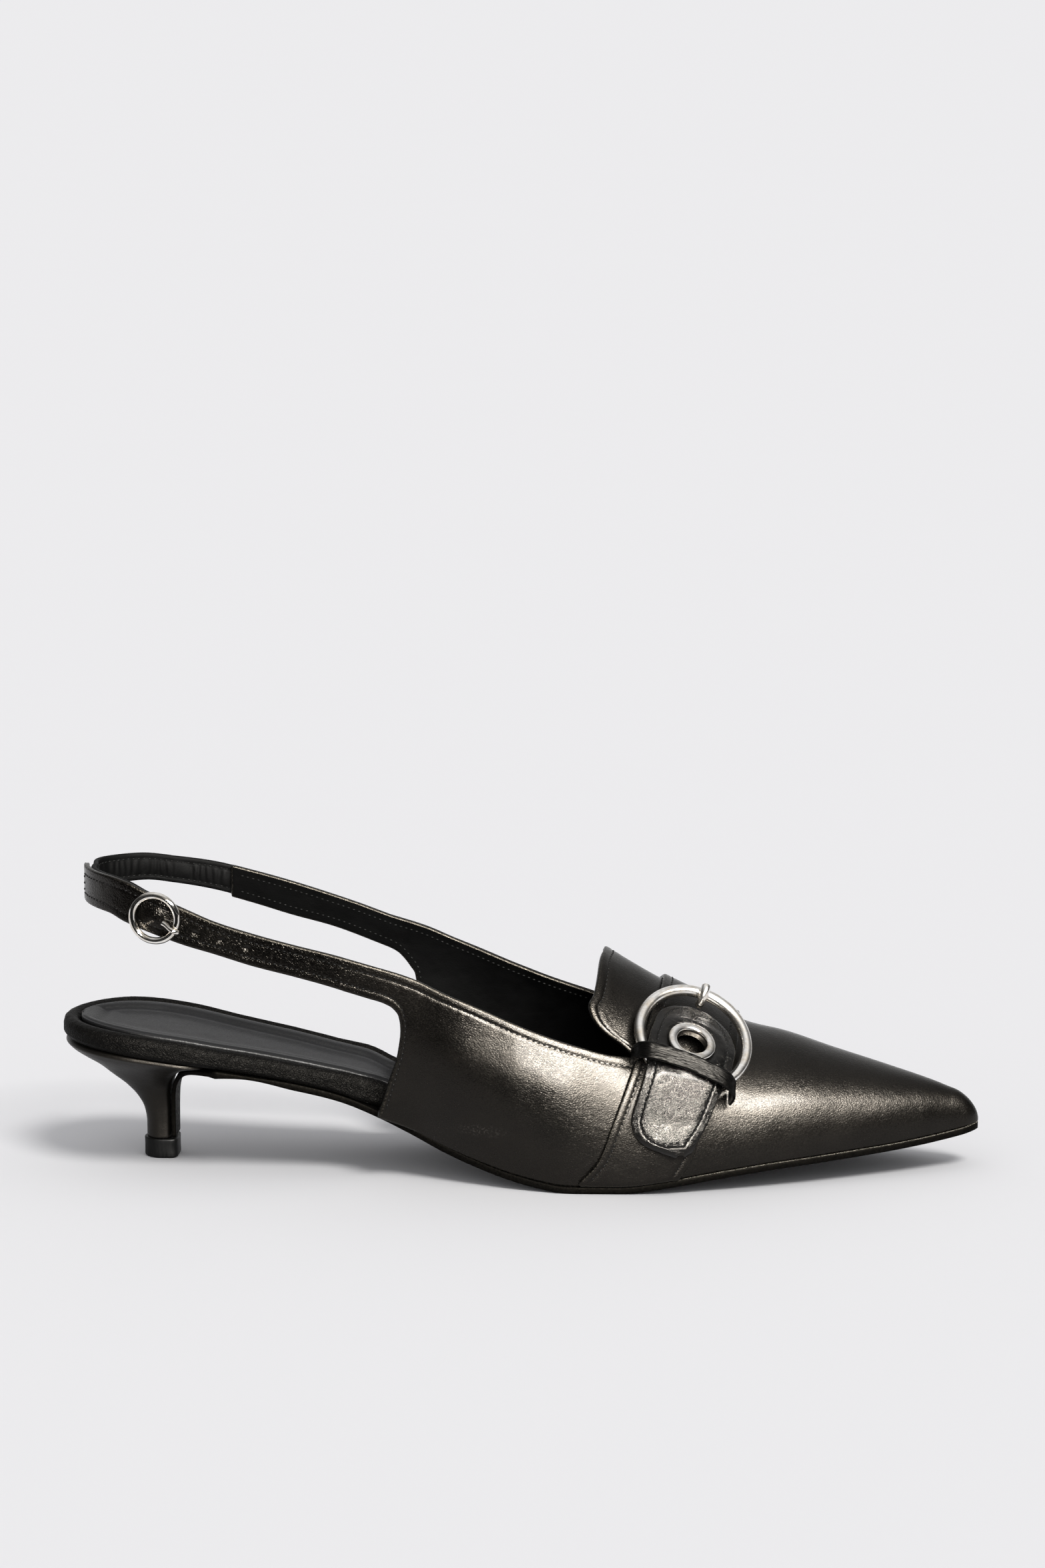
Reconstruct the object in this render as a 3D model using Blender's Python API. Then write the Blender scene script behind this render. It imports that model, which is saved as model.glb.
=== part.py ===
"""Slingback pump for the right foot, with a pointed toe, a kitten heel and a large ring buckle on the vamp.

X runs to the toe, Y to the inner (medial) side and Z up. The origin is the middle of the
top lift's floor face.
"""

import bmesh
import bpy
import numpy as np

MM = 0.001

SHOE_LENGTH = 260.0 * MM
SEAT_BACK = 27.8 * MM
BALL_WIDTH = 73.0 * MM
SEAT_HEIGHT = 36.0 * MM
INSTEP_HEIGHT = 62.0 * MM
STRAP_HEIGHT = 84.0 * MM
SEAT_RADIUS = 25.0 * MM
TOE_RADIUS = 5.0 * MM
TOE_DROP = 3.8 * MM
SOLE_THICK = 2.0 * MM
WALL = 1.6 * MM
CLEARANCE = 0.3 * MM
WELT = 0.8 * MM
MEDIAL_RISE = 3.2 * MM
LOOP_BACK = 21.5 * MM
LOOP_RADIUS = 24.0 * MM
LINING_WALL = 1.8 * MM
RING_RADIUS = 15.6 * MM
RING_WIRE = 1.6 * MM
RING_LIFT = 3.7 * MM
RING_AT = (0.6858, 51.2)
RING_PRONG_TURN = 62.5
STRAP_THICK = 2.0 * MM
BAND_THICK = 1.3 * MM
KEEPER_THICK = 1.2 * MM
KEEPER_WIDTH = 4.8 * MM
EYELET_RADIUS = 6.8 * MM
EYELET_HOLE = 4.3 * MM
EYELET_BARREL = 0.55 * MM
EYELET_RISE = 1.35 * MM
EYELET_AT = (-0.105, 44.8)
PRONG_RADIUS = 1.3 * MM
LIFT_HEIGHT = 5.6 * MM
LIFT_LENGTH = 10.0 * MM
LIFT_WIDTH = 10.2 * MM
LIFT_OFFSET = 0.6 * MM
BREAST_THICK = 1.3 * MM
SMALL_RING_RADIUS = 6.5 * MM
SMALL_RING_WIRE = 1.0 * MM
SMALL_RING_AT = (0.1146, 0.888)
SMALL_PRONG_RADIUS = 0.7 * MM
SMALL_PRONG_TURN = -27
BACK_STRAP_START = 45.0 * MM
BACK_STRAP_END = 6.0 * MM
THROAT_AT = 0.634
THROAT_RISE = 10.0 * MM
SEAT_OVERHANG = 0.4 * MM
INSOLE_TUCK = 4.0 * MM
INSOLE_SETBACK = 14.0 * MM
SOCK_SETBACK = 26.0 * MM
SOCK_INSET = 5.2 * MM
SOCK_DISH = 0.72
SOCK_THICK = 1.4 * MM
STEP_AT = 16.2 * MM

# Shares of SHOE_LENGTH between which one form passes into the next.
LOOP_TO_QUARTER = (0.322, 0.407)
INSOLE_NARROWS = (0.326, 0.361)
SEAT_TO_WAIST = (0.169, 0.261)
SEAT_GAP_ENDS = (0.207, 0.261)
FOREPART_AT = 0.722
MEDIAL_STRAP_AT = 0.174
STRAPS_END = 0.3185
# Degrees up the side between which the buckle strap leaves the band for the ring.
STRAP_LIFTS = (19.0, 31.0)

SIDE_COLUMNS = 7
TOP_COLUMNS = 16

LEATHER = ((0.012, 0.011, 0.010), 0.0, 0.42)
LINING = ((0.010, 0.010, 0.010), 0.0, 0.5)
STEEL = ((0.62, 0.60, 0.57), 1.0, 0.25)
HARD_RUBBER = ((0.012, 0.012, 0.012), 0.0, 0.7)

# along is a share of SHOE_LENGTH from the back of the heel seat. axis is the middle line's offset,
# and lateral and medial the width of each side from it, as shares of BALL_WIDTH.
OUTLINE = [
    # along, axis, lateral, medial
    (0.000, 0.000, 0.312, 0.312),
    (0.107, 0.000, 0.314, 0.314),
    (0.222, 0.000, 0.276, 0.268),
    (0.307, 0.007, 0.264, 0.240),
    (0.395, 0.014, 0.329, 0.276),
    (0.453, 0.016, 0.400, 0.344),
    (0.511, 0.020, 0.466, 0.425),
    (0.568, 0.025, 0.504, 0.482),
    (0.638, 0.029, 0.500, 0.496),
    (0.722, 0.036, 0.447, 0.438),
    (0.799, 0.041, 0.363, 0.349),
    (0.876, 0.048, 0.253, 0.240),
    (0.934, 0.052, 0.159, 0.151),
    (0.984, 0.055, 0.073, 0.070),
    (1.000, 0.055, 0.052, 0.050),
]

# feather is the top of the sole as a share of SEAT_HEIGHT.
FEATHER = [
    # along, feather
    (0.000, 1.000),
    (0.068, 0.953),
    (0.145, 0.872),
    (0.215, 0.789),
    (0.257, 0.731),
    (0.303, 0.650),
    (0.353, 0.520),
    (0.384, 0.425),
    (0.422, 0.300),
    (0.461, 0.200),
    (0.495, 0.130),
    (0.530, 0.078),
    (0.555, 0.0556),
    (0.610, 0.0556),
    (0.665, 0.100),
    (0.722, 0.157),
    (0.768, 0.194),
    (0.842, 0.231),
    (0.915, 0.267),
    (0.970, 0.311),
    (1.000, 0.350),
]

# crest is the ridge of the instep and vamp as a share of INSTEP_HEIGHT. Behind the throat it is the
# line that the open sides would reach if they went on closing.
CREST = [
    # along, crest
    (0.338, 1.480),
    (0.453, 1.290),
    (0.530, 1.150),
    (0.596, 0.989),
    (0.652, 0.853),
    (0.705, 0.746),
    (0.748, 0.652),
    (0.788, 0.613),
    (0.842, 0.538),
    (0.899, 0.461),
    (0.953, 0.386),
    (0.972, 0.355),
    (1.000, 0.325),
]

# crown is the power that squares a side (under 1) or peaks it (over 1). belly is how far a side
# swells past its lower edge, as a share of BALL_WIDTH.
FLANK = [
    # along, crown, belly_lateral, belly_medial
    (0.338, 0.60, 0.140, 0.165),
    (0.422, 0.70, 0.100, 0.130),
    (0.492, 0.82, 0.048, 0.060),
    (0.560, 1.00, 0.022, 0.026),
    (0.640, 1.20, 0.018, 0.020),
    (0.760, 1.20, 0.020, 0.020),
    (0.900, 1.10, 0.015, 0.015),
    (1.000, 1.00, 0.000, 0.000),
]

# The edges of the two straps, as shares of STRAP_HEIGHT, and the topline from the strap to the throat.
LATERAL_STRAP = [
    # along, low, top
    (0.025, 0.902, 1.012),
    (0.059, 0.893, 1.006),
    (0.078, 0.870, 0.995),
    (0.102, 0.844, 0.965),
    (0.145, 0.800, 0.911),
    (0.177, 0.774, 0.871),
    (0.220, 0.736, 0.832),
    (0.263, 0.705, 0.799),
    (0.307, 0.670, 0.768),
    (0.338, 0.640, 0.742),
]
MEDIAL_STRAP = [
    # along, low, top
    (0.025, 0.899, 1.000),
    (0.076, 0.901, 0.995),
    (0.108, 0.888, 0.981),
    (0.152, 0.862, 0.960),
    (0.196, 0.824, 0.926),
    (0.240, 0.781, 0.887),
    (0.285, 0.742, 0.842),
    (0.338, 0.680, 0.784),
]
TOPLINE = [
    # along, top
    (0.338, 0.742),
    (0.391, 0.692),
    (0.422, 0.650),
    (0.459, 0.604),
    (0.495, 0.557),
    (0.531, 0.514),
    (0.568, 0.477),
    (0.603, 0.446),
    (0.630, 0.433),
]

# spread is the strap loop's distance from the middle line as a share of LOOP_RADIUS.
LOOP_SPREAD = [
    # along, spread
    (0.107, 0.950),
    (0.145, 1.008),
    (0.222, 1.075),
    (0.338, 1.146),
]

# The rows that turn from the strap, round the side opening's corner, down to the sole.
CORNER = [
    # low_along, low, top_along
    (0.338, 0.640, 0.338),
    (0.360, 0.621, 0.362),
    (0.371, 0.602, 0.376),
    (0.378, 0.570, 0.389),
    (0.380, 0.520, 0.404),
    (0.377, 0.440, 0.422),
    (0.368, 0.350, 0.442),
    (0.355, 0.225, 0.461),
]


def slopes(x, y):
    """The slope at each row that keeps a curve through the rows free of overshoot."""
    step = np.diff(x)
    rise = np.diff(y) / step
    out = np.empty(len(x))
    out[0], out[-1] = rise[0], rise[-1]
    for i in range(1, len(x) - 1):
        if rise[i - 1] * rise[i] <= 0:
            out[i] = 0.0
            continue
        w1 = 2 * step[i] + step[i - 1]
        w2 = step[i] + 2 * step[i - 1]
        out[i] = (w1 + w2) / (w1 / rise[i - 1] + w2 / rise[i])
    return out


def curve(table, column, unit):
    """A smooth function of the table's first column, in units of the named size."""
    rows = np.array(table, float)
    x, y = rows[:, 0], rows[:, column] * unit
    m = slopes(x, y)

    def value(at):
        at = float(np.clip(at, x[0], x[-1]))
        i = int(np.clip(np.searchsorted(x, at) - 1, 0, len(x) - 2))
        h = x[i + 1] - x[i]
        t = (at - x[i]) / h
        return float(
            y[i] * (1 + 2 * t) * (1 - t) ** 2
            + y[i + 1] * t * t * (3 - 2 * t)
            + h * (m[i] * t * (1 - t) ** 2 - m[i + 1] * t * t * (1 - t))
        )

    return value


AXIS, LATERAL, MEDIAL = (curve(OUTLINE, n, BALL_WIDTH) for n in (1, 2, 3))
FEATHER_Z = curve(FEATHER, 1, SEAT_HEIGHT)
CREST_Z = curve(CREST, 1, INSTEP_HEIGHT)
CROWN = curve(FLANK, 1, 1.0)
BELLY_LATERAL, BELLY_MEDIAL = (curve(FLANK, n, BALL_WIDTH) for n in (2, 3))
TOPLINE_Z = curve(TOPLINE, 1, STRAP_HEIGHT)
LOOP_WIDTH = curve(LOOP_SPREAD, 1, LOOP_RADIUS)
TIP = SHOE_LENGTH - SEAT_BACK
LIFT_TOP = LIFT_HEIGHT + CLEARANCE


def share(x):
    return (x + SEAT_BACK) / SHOE_LENGTH


def station(along):
    return along * SHOE_LENGTH - SEAT_BACK


def heel_height(high):
    """The height at a share of the way from the top lift to the seat."""
    return LIFT_TOP + high * (SEAT_HEIGHT - LIFT_TOP)


def ease(low, high, x):
    t = float(np.clip((x - low) / (high - low), 0, 1))
    return t * t * (3 - 2 * t)


def rounding(x, end, radius):
    """The factor that closes a width to nothing at end, like a circle of the given radius."""
    t = float(np.clip(1 - abs(end - x) / radius, 0, 1))
    return (1 - t * t) ** 0.5


def half_width(x, side, inset=0.0, back=-SEAT_BACK, front=TIP):
    """The plan outline's distance from its middle line, on a shape drawn in by inset all round."""
    base = (LATERAL if side < 0 else MEDIAL)(share(x)) - inset
    heel = rounding(max(x, back + inset), back + inset, SEAT_RADIUS)
    toe = rounding(min(x, front - inset), front - inset, max(TOE_RADIUS - inset, 1 * MM))
    at_heel, at_toe = x < back + inset + SEAT_RADIUS, x > front - TOE_RADIUS
    return base * (heel if at_heel else 1.0) * (toe if at_toe else 1.0)


def feather(x):
    return FEATHER_Z(share(x))


def arch(x, a):
    """A point of the upper's outside: a runs from 0 at the lateral edge over the crest to pi."""
    side = -1 if a <= np.pi / 2 else 1
    b = a if side < 0 else np.pi - a
    at = share(x)
    foot = feather(x) + CLEARANCE
    rise = (CREST_Z(at) - foot) * rounding(x, TIP, TOE_DROP) if x > TIP - TOE_DROP else CREST_Z(at) - foot
    half = half_width(x, side, WELT, front=TIP + WELT)
    belly = (BELLY_LATERAL if side < 0 else BELLY_MEDIAL)(at)
    out = half * max(np.cos(b), 0.0) ** CROWN(at) + belly * np.sin(2 * b)
    return np.array([x, AXIS(at) + side * out, foot + rise * np.sin(b)])


def wall_angle(x, z):
    """The arch angle, from its nearer edge, at which the side reaches height z."""
    foot = feather(x) + CLEARANCE
    return float(np.arcsin(np.clip((z - foot) / (CREST_Z(share(x)) - foot), 0, 1)))


def loop_width(x):
    """The strap loop's distance from the middle line."""
    wide = LOOP_WIDTH(share(x))
    if x < LOOP_RADIUS - LOOP_BACK:
        return wide * rounding(max(x, -LOOP_BACK), -LOOP_BACK, LOOP_RADIUS)
    return wide


def side_point(x, z, side):
    """A point of the upper's outside at station x and height z, on the strap loop or on the quarter."""
    b = wall_angle(x, z)
    quarter = arch(x, b if side < 0 else np.pi - b)[1]
    loop = side * loop_width(x)
    blend = ease(*LOOP_TO_QUARTER, share(x))
    return np.array([x, loop + (quarter - loop) * blend, z])


def normal(x, a):
    """The outward direction of the upper's outside at (x, a)."""
    along = arch(x + 0.01 * MM, a) - arch(x - 0.01 * MM, a)
    across = arch(x, a + 1e-3) - arch(x, a - 1e-3)
    out = np.cross(along, across)
    return out / np.linalg.norm(out)


def raised(x, a, height):
    return arch(x, a) + normal(x, a) * height


def mirrored(degrees):
    """The angle from the nearer edge, in degrees, of an arch angle in degrees."""
    return degrees if degrees <= 90 else 180 - degrees


def add_object(name, points, faces, colour, metal, rough):
    """One closed body with its own material. Points that coincide at a pole are joined."""
    bm = bmesh.new()
    verts = [bm.verts.new(p) for p in points]
    for face in faces:
        corners = list(dict.fromkeys(face))
        if len(corners) > 2:
            bm.faces.new([verts[i] for i in corners])
    bmesh.ops.remove_doubles(bm, verts=bm.verts, dist=0.00002)
    loose = [v for v in bm.verts if not v.link_faces]
    bmesh.ops.delete(bm, geom=loose, context="VERTS")
    bmesh.ops.dissolve_degenerate(bm, edges=bm.edges, dist=0.00002)
    bmesh.ops.recalc_face_normals(bm, faces=bm.faces)
    mesh = bpy.data.meshes.new(name)
    bm.to_mesh(mesh)
    bm.free()
    mesh.shade_smooth()
    material = bpy.data.materials.new(name)
    material.use_nodes = True
    shader = material.node_tree.nodes["Principled BSDF"]
    shader.inputs["Base Color"].default_value = (*colour, 1.0)
    shader.inputs["Metallic"].default_value = metal
    shader.inputs["Roughness"].default_value = rough
    mesh.materials.append(material)
    obj = bpy.data.objects.new(name, mesh)
    bpy.context.scene.collection.objects.link(obj)
    return obj


def shell(name, grid, cells, thick, look):
    """A wall of even thickness under a grid of outside points, over the cells that are set."""
    rows, columns = cells.shape
    count = grid.shape[0] * grid.shape[1]
    flat = grid.reshape(-1, 3)
    index = np.arange(count).reshape(grid.shape[:2])
    quads = []
    for i in range(rows):
        for j in range(columns):
            if cells[i, j]:
                quads.append((index[i, j], index[i + 1, j], index[i + 1, j + 1], index[i, j + 1]))
    normals = np.zeros_like(flat)
    for quad in quads:
        p = flat[list(quad)]
        face = np.cross(p[2] - p[0], p[3] - p[1])
        for corner in quad:
            normals[corner] += face
    lengths = np.linalg.norm(normals, axis=1)
    normals[lengths > 0] /= lengths[lengths > 0][:, None]
    depth = thick.reshape(-1, 1) if isinstance(thick, np.ndarray) else thick
    points = np.vstack([flat, flat - normals * depth])
    edges = {}
    for quad in quads:
        for a, b in zip(quad, quad[1:] + quad[:1]):
            edges[(a, b)] = True
    faces = list(quads) + [tuple(count + c for c in reversed(quad)) for quad in quads]
    for a, b in edges:
        if (b, a) not in edges:
            faces.append((b, a, count + a, count + b))
    return add_object(name, points, faces, *look)


def loft(name, rings, look, closed=False):
    """A solid through rings of equal count. Its end rings are closed by strips between opposite points."""
    count = len(rings[0])
    points = np.vstack(rings)
    faces = []
    spans = len(rings) if closed else len(rings) - 1
    for k in range(spans):
        a, b = k * count, ((k + 1) % len(rings)) * count
        for i in range(count):
            j = (i + 1) % count
            faces.append((a + i, a + j, b + j, b + i))
    if not closed:
        for base in (0, (len(rings) - 1) * count):
            for i in range(count // 2):
                near, far = (count - i) % count, (count - i - 1) % count
                faces.append((base + i, base + i + 1, base + far, base + near))
    return add_object(name, points, faces, *look)


def strap_point(edges, x, high, side):
    """A point of one strap at station x, high being 0 on its lower edge and 1 on its upper edge."""
    low, top = edges
    z = low(share(x)) + (top(share(x)) - low(share(x))) * high
    return side_point(x, z, side)


def loop_station(turn):
    """The station at which the strap loop has turned this many radians from its back."""
    return -LOOP_BACK + LOOP_RADIUS * (1 - np.cos(turn))


def rear_rows(side, columns):
    """The quarter and strap of one side as rows of points from the lower edge to the upper edge."""
    low, top = (curve(LATERAL_STRAP if side < 0 else MEDIAL_STRAP, n, STRAP_HEIGHT) for n in (1, 2))
    rise = 0.0 if side < 0 else MEDIAL_RISE
    if side < 0:
        bends = [loop_station(np.radians(d)) for d in (6.5, 14, 24, 34, 45, 56, 68, 80)]
        stations = bends + list(np.linspace(LOOP_RADIUS - LOOP_BACK, station(STRAPS_END), 11))
    else:
        stations = list(np.linspace(station(MEDIAL_STRAP_AT), station(STRAPS_END), 8))
    rows = []
    for x in stations:
        rows.append([strap_point((low, top), x, v, side) for v in np.linspace(0, 1, columns)])
    steps = [(k, *row) for k, row in enumerate(CORNER)]
    low_x, low_z, top_x = (curve(steps, n, unit) for n, unit in ((1, 1.0), (2, STRAP_HEIGHT), (3, 1.0)))
    last = len(CORNER) - 1
    throat = station(THROAT_AT)
    pairs = []
    for k in np.linspace(0.45, last, 15):
        lower = low_z(k) + rise * (1 - ease(0.0, 2.5, k)) if k < last else None
        pairs.append((station(low_x(k)), lower, station(top_x(k))))
    start_low, start_top = station(low_x(last)), station(top_x(last))
    for t in np.linspace(0, 1, 11)[1:]:
        pairs.append((start_low + (throat - start_low) * t, None, start_top + (throat - start_top) * t))
    for x_low, z_low, x_top in pairs:
        z0 = feather(x_low) + CLEARANCE if z_low is None else z_low
        z1 = TOPLINE_Z(share(x_top)) + rise
        row = []
        for v in np.linspace(0, 1, columns):
            row.append(side_point(x_low + (x_top - x_low) * v, z0 + (z1 - z0) * v, side))
        rows.append(row)
    return rows


def vamp_angles():
    """The arch angles of the columns: up the lateral side, over the top, down the medial side."""
    throat = station(THROAT_AT)
    foot = feather(throat) + CLEARANCE
    top = TOPLINE_Z(THROAT_AT)
    shares = np.linspace(0, 1, SIDE_COLUMNS)
    lateral = [wall_angle(throat, foot + (top - foot) * v) for v in shares]
    medial = [np.pi - wall_angle(throat, foot + (top + MEDIAL_RISE - foot) * v) for v in shares]
    over = np.linspace(lateral[-1], medial[-1], TOP_COLUMNS)[1:-1]
    return lateral + list(over) + medial[::-1]


def throat_station(a):
    """The vamp's rear edge, which the band hides: further forward on the crest."""
    angles = vamp_angles()
    low, high = angles[SIDE_COLUMNS - 1], angles[-SIDE_COLUMNS]
    t = float(np.clip((a - low) / (high - low), 0, 1))
    return station(THROAT_AT) + THROAT_RISE * np.sin(np.pi * t)


def make_upper():
    """Vamp, quarters, near strap and the stub of the far strap, as one open hollow shell."""
    angles = vamp_angles()
    lateral = rear_rows(-1, SIDE_COLUMNS)
    medial = rear_rows(1, SIDE_COLUMNS)
    width = len(angles)
    rear = len(lateral)
    spare = rear - len(medial)
    rows = []
    for i in range(rear):
        row = np.zeros((width, 3))
        row[:SIDE_COLUMNS] = lateral[i]
        if i >= spare:
            row[-SIDE_COLUMNS:] = medial[i - spare][::-1]
        rows.append(row)
    for j in range(SIDE_COLUMNS, width - SIDE_COLUMNS):
        rows[-1][j] = arch(throat_station(angles[j]), angles[j])
    for t in np.linspace(0, 1, 21)[1:]:
        reach = np.sin(t * np.pi / 2)
        row = []
        for a in angles:
            start = throat_station(a)
            row.append(arch(start + (TIP - start) * reach, a))
        rows.append(np.array(row))
    grid = np.array(rows)
    cells = np.ones((grid.shape[0] - 1, width - 1), bool)
    cells[: rear - 1, SIDE_COLUMNS - 1 : width - SIDE_COLUMNS] = False
    cells[:spare, SIDE_COLUMNS:] = False
    return shell("upper", grid, cells, WALL, LEATHER)


# angle is degrees from the nearer sole edge.
FLAP_EDGE = [
    # angle, along
    (40.0, 0.633),
    (43.2, 0.615),
    (45.2, 0.597),
    (48.4, 0.585),
    (52.0, 0.581),
    (57.0, 0.586),
    (65.0, 0.589),
    (78.0, 0.591),
    (90.0, 0.594),
]
BAND_EDGES = [
    # angle, rear, front
    (0.0, 0.570, 0.674),
    (7.0, 0.593, 0.688),
    (17.0, 0.607, 0.698),
    (28.0, 0.620, 0.711),
    (37.0, 0.629, 0.722),
    (60.0, 0.646, 0.7355),
    (78.0, 0.6545, 0.7395),
    (90.0, 0.656, 0.7400),
]


def make_flap():
    """The stiff tongue flap that carries the instep line up and back from the throat."""
    angles = vamp_angles()
    edge = curve(FLAP_EDGE, 1, 1.0)
    low, high = angles[SIDE_COLUMNS - 1] + np.radians(1.5), angles[-SIDE_COLUMNS] - np.radians(1.5)
    rows = []
    for t in np.linspace(0, 1, 9):
        row = []
        for a in np.linspace(low, high, 21):
            front = throat_station(a) - CLEARANCE
            rear = min(station(edge(mirrored(np.degrees(a)))), front - 0.8 * MM)
            row.append(arch(rear + (front - rear) * t, a))
        rows.append(row)
    grid = np.array(rows)
    return shell("tongue_flap", grid, np.ones((8, 20), bool), WALL, LEATHER)


def make_band():
    """The wide strap stitched over the vamp from one sole edge to the other."""
    rear, front = (curve(BAND_EDGES, n, 1.0) for n in (1, 2))
    rows = []
    for t in np.linspace(0, 1, 7):
        row = []
        for degrees in np.linspace(0.5, 179.5, 31):
            near = mirrored(degrees)
            at = rear(near) + (front(near) - rear(near)) * t
            row.append(raised(station(at), np.radians(degrees), CLEARANCE + BAND_THICK))
        rows.append(row)
    return shell("vamp_band", np.array(rows), np.ones((6, 30), bool), BAND_THICK, LEATHER)


def ring_frame():
    """The large ring's middle, its two directions in its own plane and its face direction."""
    at, degrees = RING_AT
    a = np.radians(degrees)
    face = normal(station(at), a)
    level = np.cross([0.0, 0.0, 1.0], face)
    level /= np.linalg.norm(level)
    return raised(station(at), a, RING_LIFT), level, np.cross(face, level), face


def torus(name, middle, u, v, radius, wire, look, around=40, across=9):
    w = np.cross(u, v)
    rings = []
    for s in np.linspace(0, 2 * np.pi, around, endpoint=False):
        out = u * np.cos(s) + v * np.sin(s)
        turns = np.linspace(0, 2 * np.pi, across, endpoint=False)
        rings.append([middle + out * (radius + wire * np.cos(t)) + w * wire * np.sin(t) for t in turns])
    return loft(name, rings, look, closed=True)


# left and right are the strap's edges along the shoe from the ring's middle, as shares of
# RING_RADIUS; tilt is its underside above the ring's middle plane, and drape its underside above the
# upper, both as shares of STRAP_THICK.
BUCKLE_STRAP = [
    # angle, left, right, tilt, drape
    (10.4, -0.260, -0.145, 0.95, 1.75),
    (11.8, -0.465, -0.020, 0.95, 1.77),
    (14.2, -0.785, 0.050, 0.95, 1.82),
    (17.0, -0.938, 0.150, 0.95, 1.90),
    (20.6, -0.990, 0.250, 0.95, 2.10),
    (28.0, -0.955, 0.400, 1.12, 2.60),
    (35.0, -0.905, 0.553, 1.12, 3.00),
    (44.5, -0.815, 0.653, 0.88, 3.00),
    (50.0, -0.735, 0.687, 0.38, 3.00),
    (56.0, -0.647, 0.653, -0.35, 3.00),
    (60.0, -0.547, 0.603, -0.85, 3.00),
    (64.0, -0.380, 0.470, -1.22, 3.00),
    (66.5, -0.163, 0.287, -1.35, 3.00),
]


def by_ring(offset):
    """The station at so many ring radii in front of the ring's middle."""
    return station(RING_AT[0]) + offset * RING_RADIUS


def strap_base(at, degrees):
    """A point of the buckle strap's underside and its outward direction."""
    tilt, drape = (curve(BUCKLE_STRAP, n, STRAP_THICK)(degrees) for n in (3, 4))
    x, a = by_ring(at), np.radians(degrees)
    middle, _, _, face = ring_frame()
    on_upper = arch(x, a)
    flat = on_upper + face * ((middle - on_upper) @ face + tilt)
    draped = raised(x, a, drape)
    t = ease(*STRAP_LIFTS, degrees)
    out = normal(x, a) * (1 - t) + face * t
    return draped + (flat - draped) * t, out / np.linalg.norm(out)


def make_buckle_strap():
    """The thick strap that ends in a rounded tip and passes over the ring's lower arc."""
    middle, u, v, face = eyelet_frame()
    left, right = (curve(BUCKLE_STRAP, n, 1.0) for n in (1, 2))
    rows = []
    for degrees in np.linspace(66.5, 10.4, 27):
        row = []
        for t in np.linspace(0, 1, 9):
            at = left(degrees) + (right(degrees) - left(degrees)) * t
            point, out = strap_base(at, degrees)
            crown = 1 - 0.25 * abs(2 * t - 1) ** 6
            top = point + out * STRAP_THICK * crown
            apart = (top - middle) @ face
            spread = np.linalg.norm(top - middle - face * apart)
            bent = ease(EYELET_RADIUS + 1 * MM, EYELET_RADIUS + 5 * MM, spread)
            row.append(top - face * apart * (1 - bent))
        rows.append(row)
    obj = shell("buckle_strap", np.array(rows), np.ones((26, 8), bool), STRAP_THICK, LEATHER)
    hole = EYELET_HOLE + EYELET_BARREL + CLEARANCE
    rings = []
    for height in (-8 * MM, 8 * MM):
        turns = np.linspace(0, 2 * np.pi, 32, endpoint=False)
        rings.append([middle + (u * np.cos(t) + v * np.sin(t)) * hole + face * height for t in turns])
    cutter = loft("eyelet_cutter", rings, STEEL)
    cutter.hide_render = True
    cutter.display_type = "WIRE"
    cut = obj.modifiers.new("eyelet_hole", "BOOLEAN")
    cut.object = cutter
    cut.operation = "DIFFERENCE"
    cut.solver = "EXACT"
    return obj


def eyelet_frame():
    """The eyelet's middle on the strap's top, and its directions."""
    at, degrees = EYELET_AT
    middle, face = strap_base(at, degrees)
    above, _ = strap_base(at, degrees + 7)
    below, _ = strap_base(at, degrees - 7)
    v = (above - below) / np.linalg.norm(above - below)
    u = np.cross(v, face)
    u /= np.linalg.norm(u)
    out = np.cross(u, v)
    return (above + below + 2 * middle) / 4 + out * STRAP_THICK, u, v, out


def lathe(name, middle, u, v, profile, look=STEEL, around=32):
    """A solid of revolution about u x v through middle. The profile is (radius, height) pairs."""
    w = np.cross(u, v)
    rings = []
    for s in np.linspace(0, 2 * np.pi, around, endpoint=False):
        out = u * np.cos(s) + v * np.sin(s)
        rings.append([middle + out * radius + w * height for radius, height in profile])
    return loft(name, rings, look, closed=True)


def make_eyelet():
    """A rolled metal rim on the strap with a barrel through its hole."""
    middle, u, v, _ = eyelet_frame()
    bore, rim = EYELET_HOLE, EYELET_RADIUS
    low, high = CLEARANCE, EYELET_RISE
    profile = [
        (bore, -STRAP_THICK * 0.8),
        (bore + EYELET_BARREL, -STRAP_THICK * 0.8),
        (bore + EYELET_BARREL, low),
        (rim - 0.3 * MM, low),
        (rim, low + 0.4 * MM),
        (rim - 0.5 * MM, high - 0.2 * MM),
        (rim - 1.25 * MM, high),
        (bore + 0.4 * MM, high - 0.25 * MM),
    ]
    return lathe("eyelet", middle, u, v, profile)


def rod(name, path, radius, look, across=8):
    """A round bar with domed ends along a path of points."""
    path = np.array(path)
    tangents = np.gradient(path, axis=0)
    tangents /= np.linalg.norm(tangents, axis=1)[:, None]
    u = np.cross(tangents[0], [0.3, 0.9, 0.1])
    rings = []
    for k, (point, along) in enumerate(zip(path, tangents)):
        u = u - along * (u @ along)
        u /= np.linalg.norm(u)
        v = np.cross(along, u)
        size = radius * (0.55 if k in (0, len(path) - 1) else 1.0)
        turns = np.linspace(0, 2 * np.pi, across, endpoint=False)
        rings.append([point + (u * np.cos(t) + v * np.sin(t)) * size for t in turns])
    return loft(name, rings, look)


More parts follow.
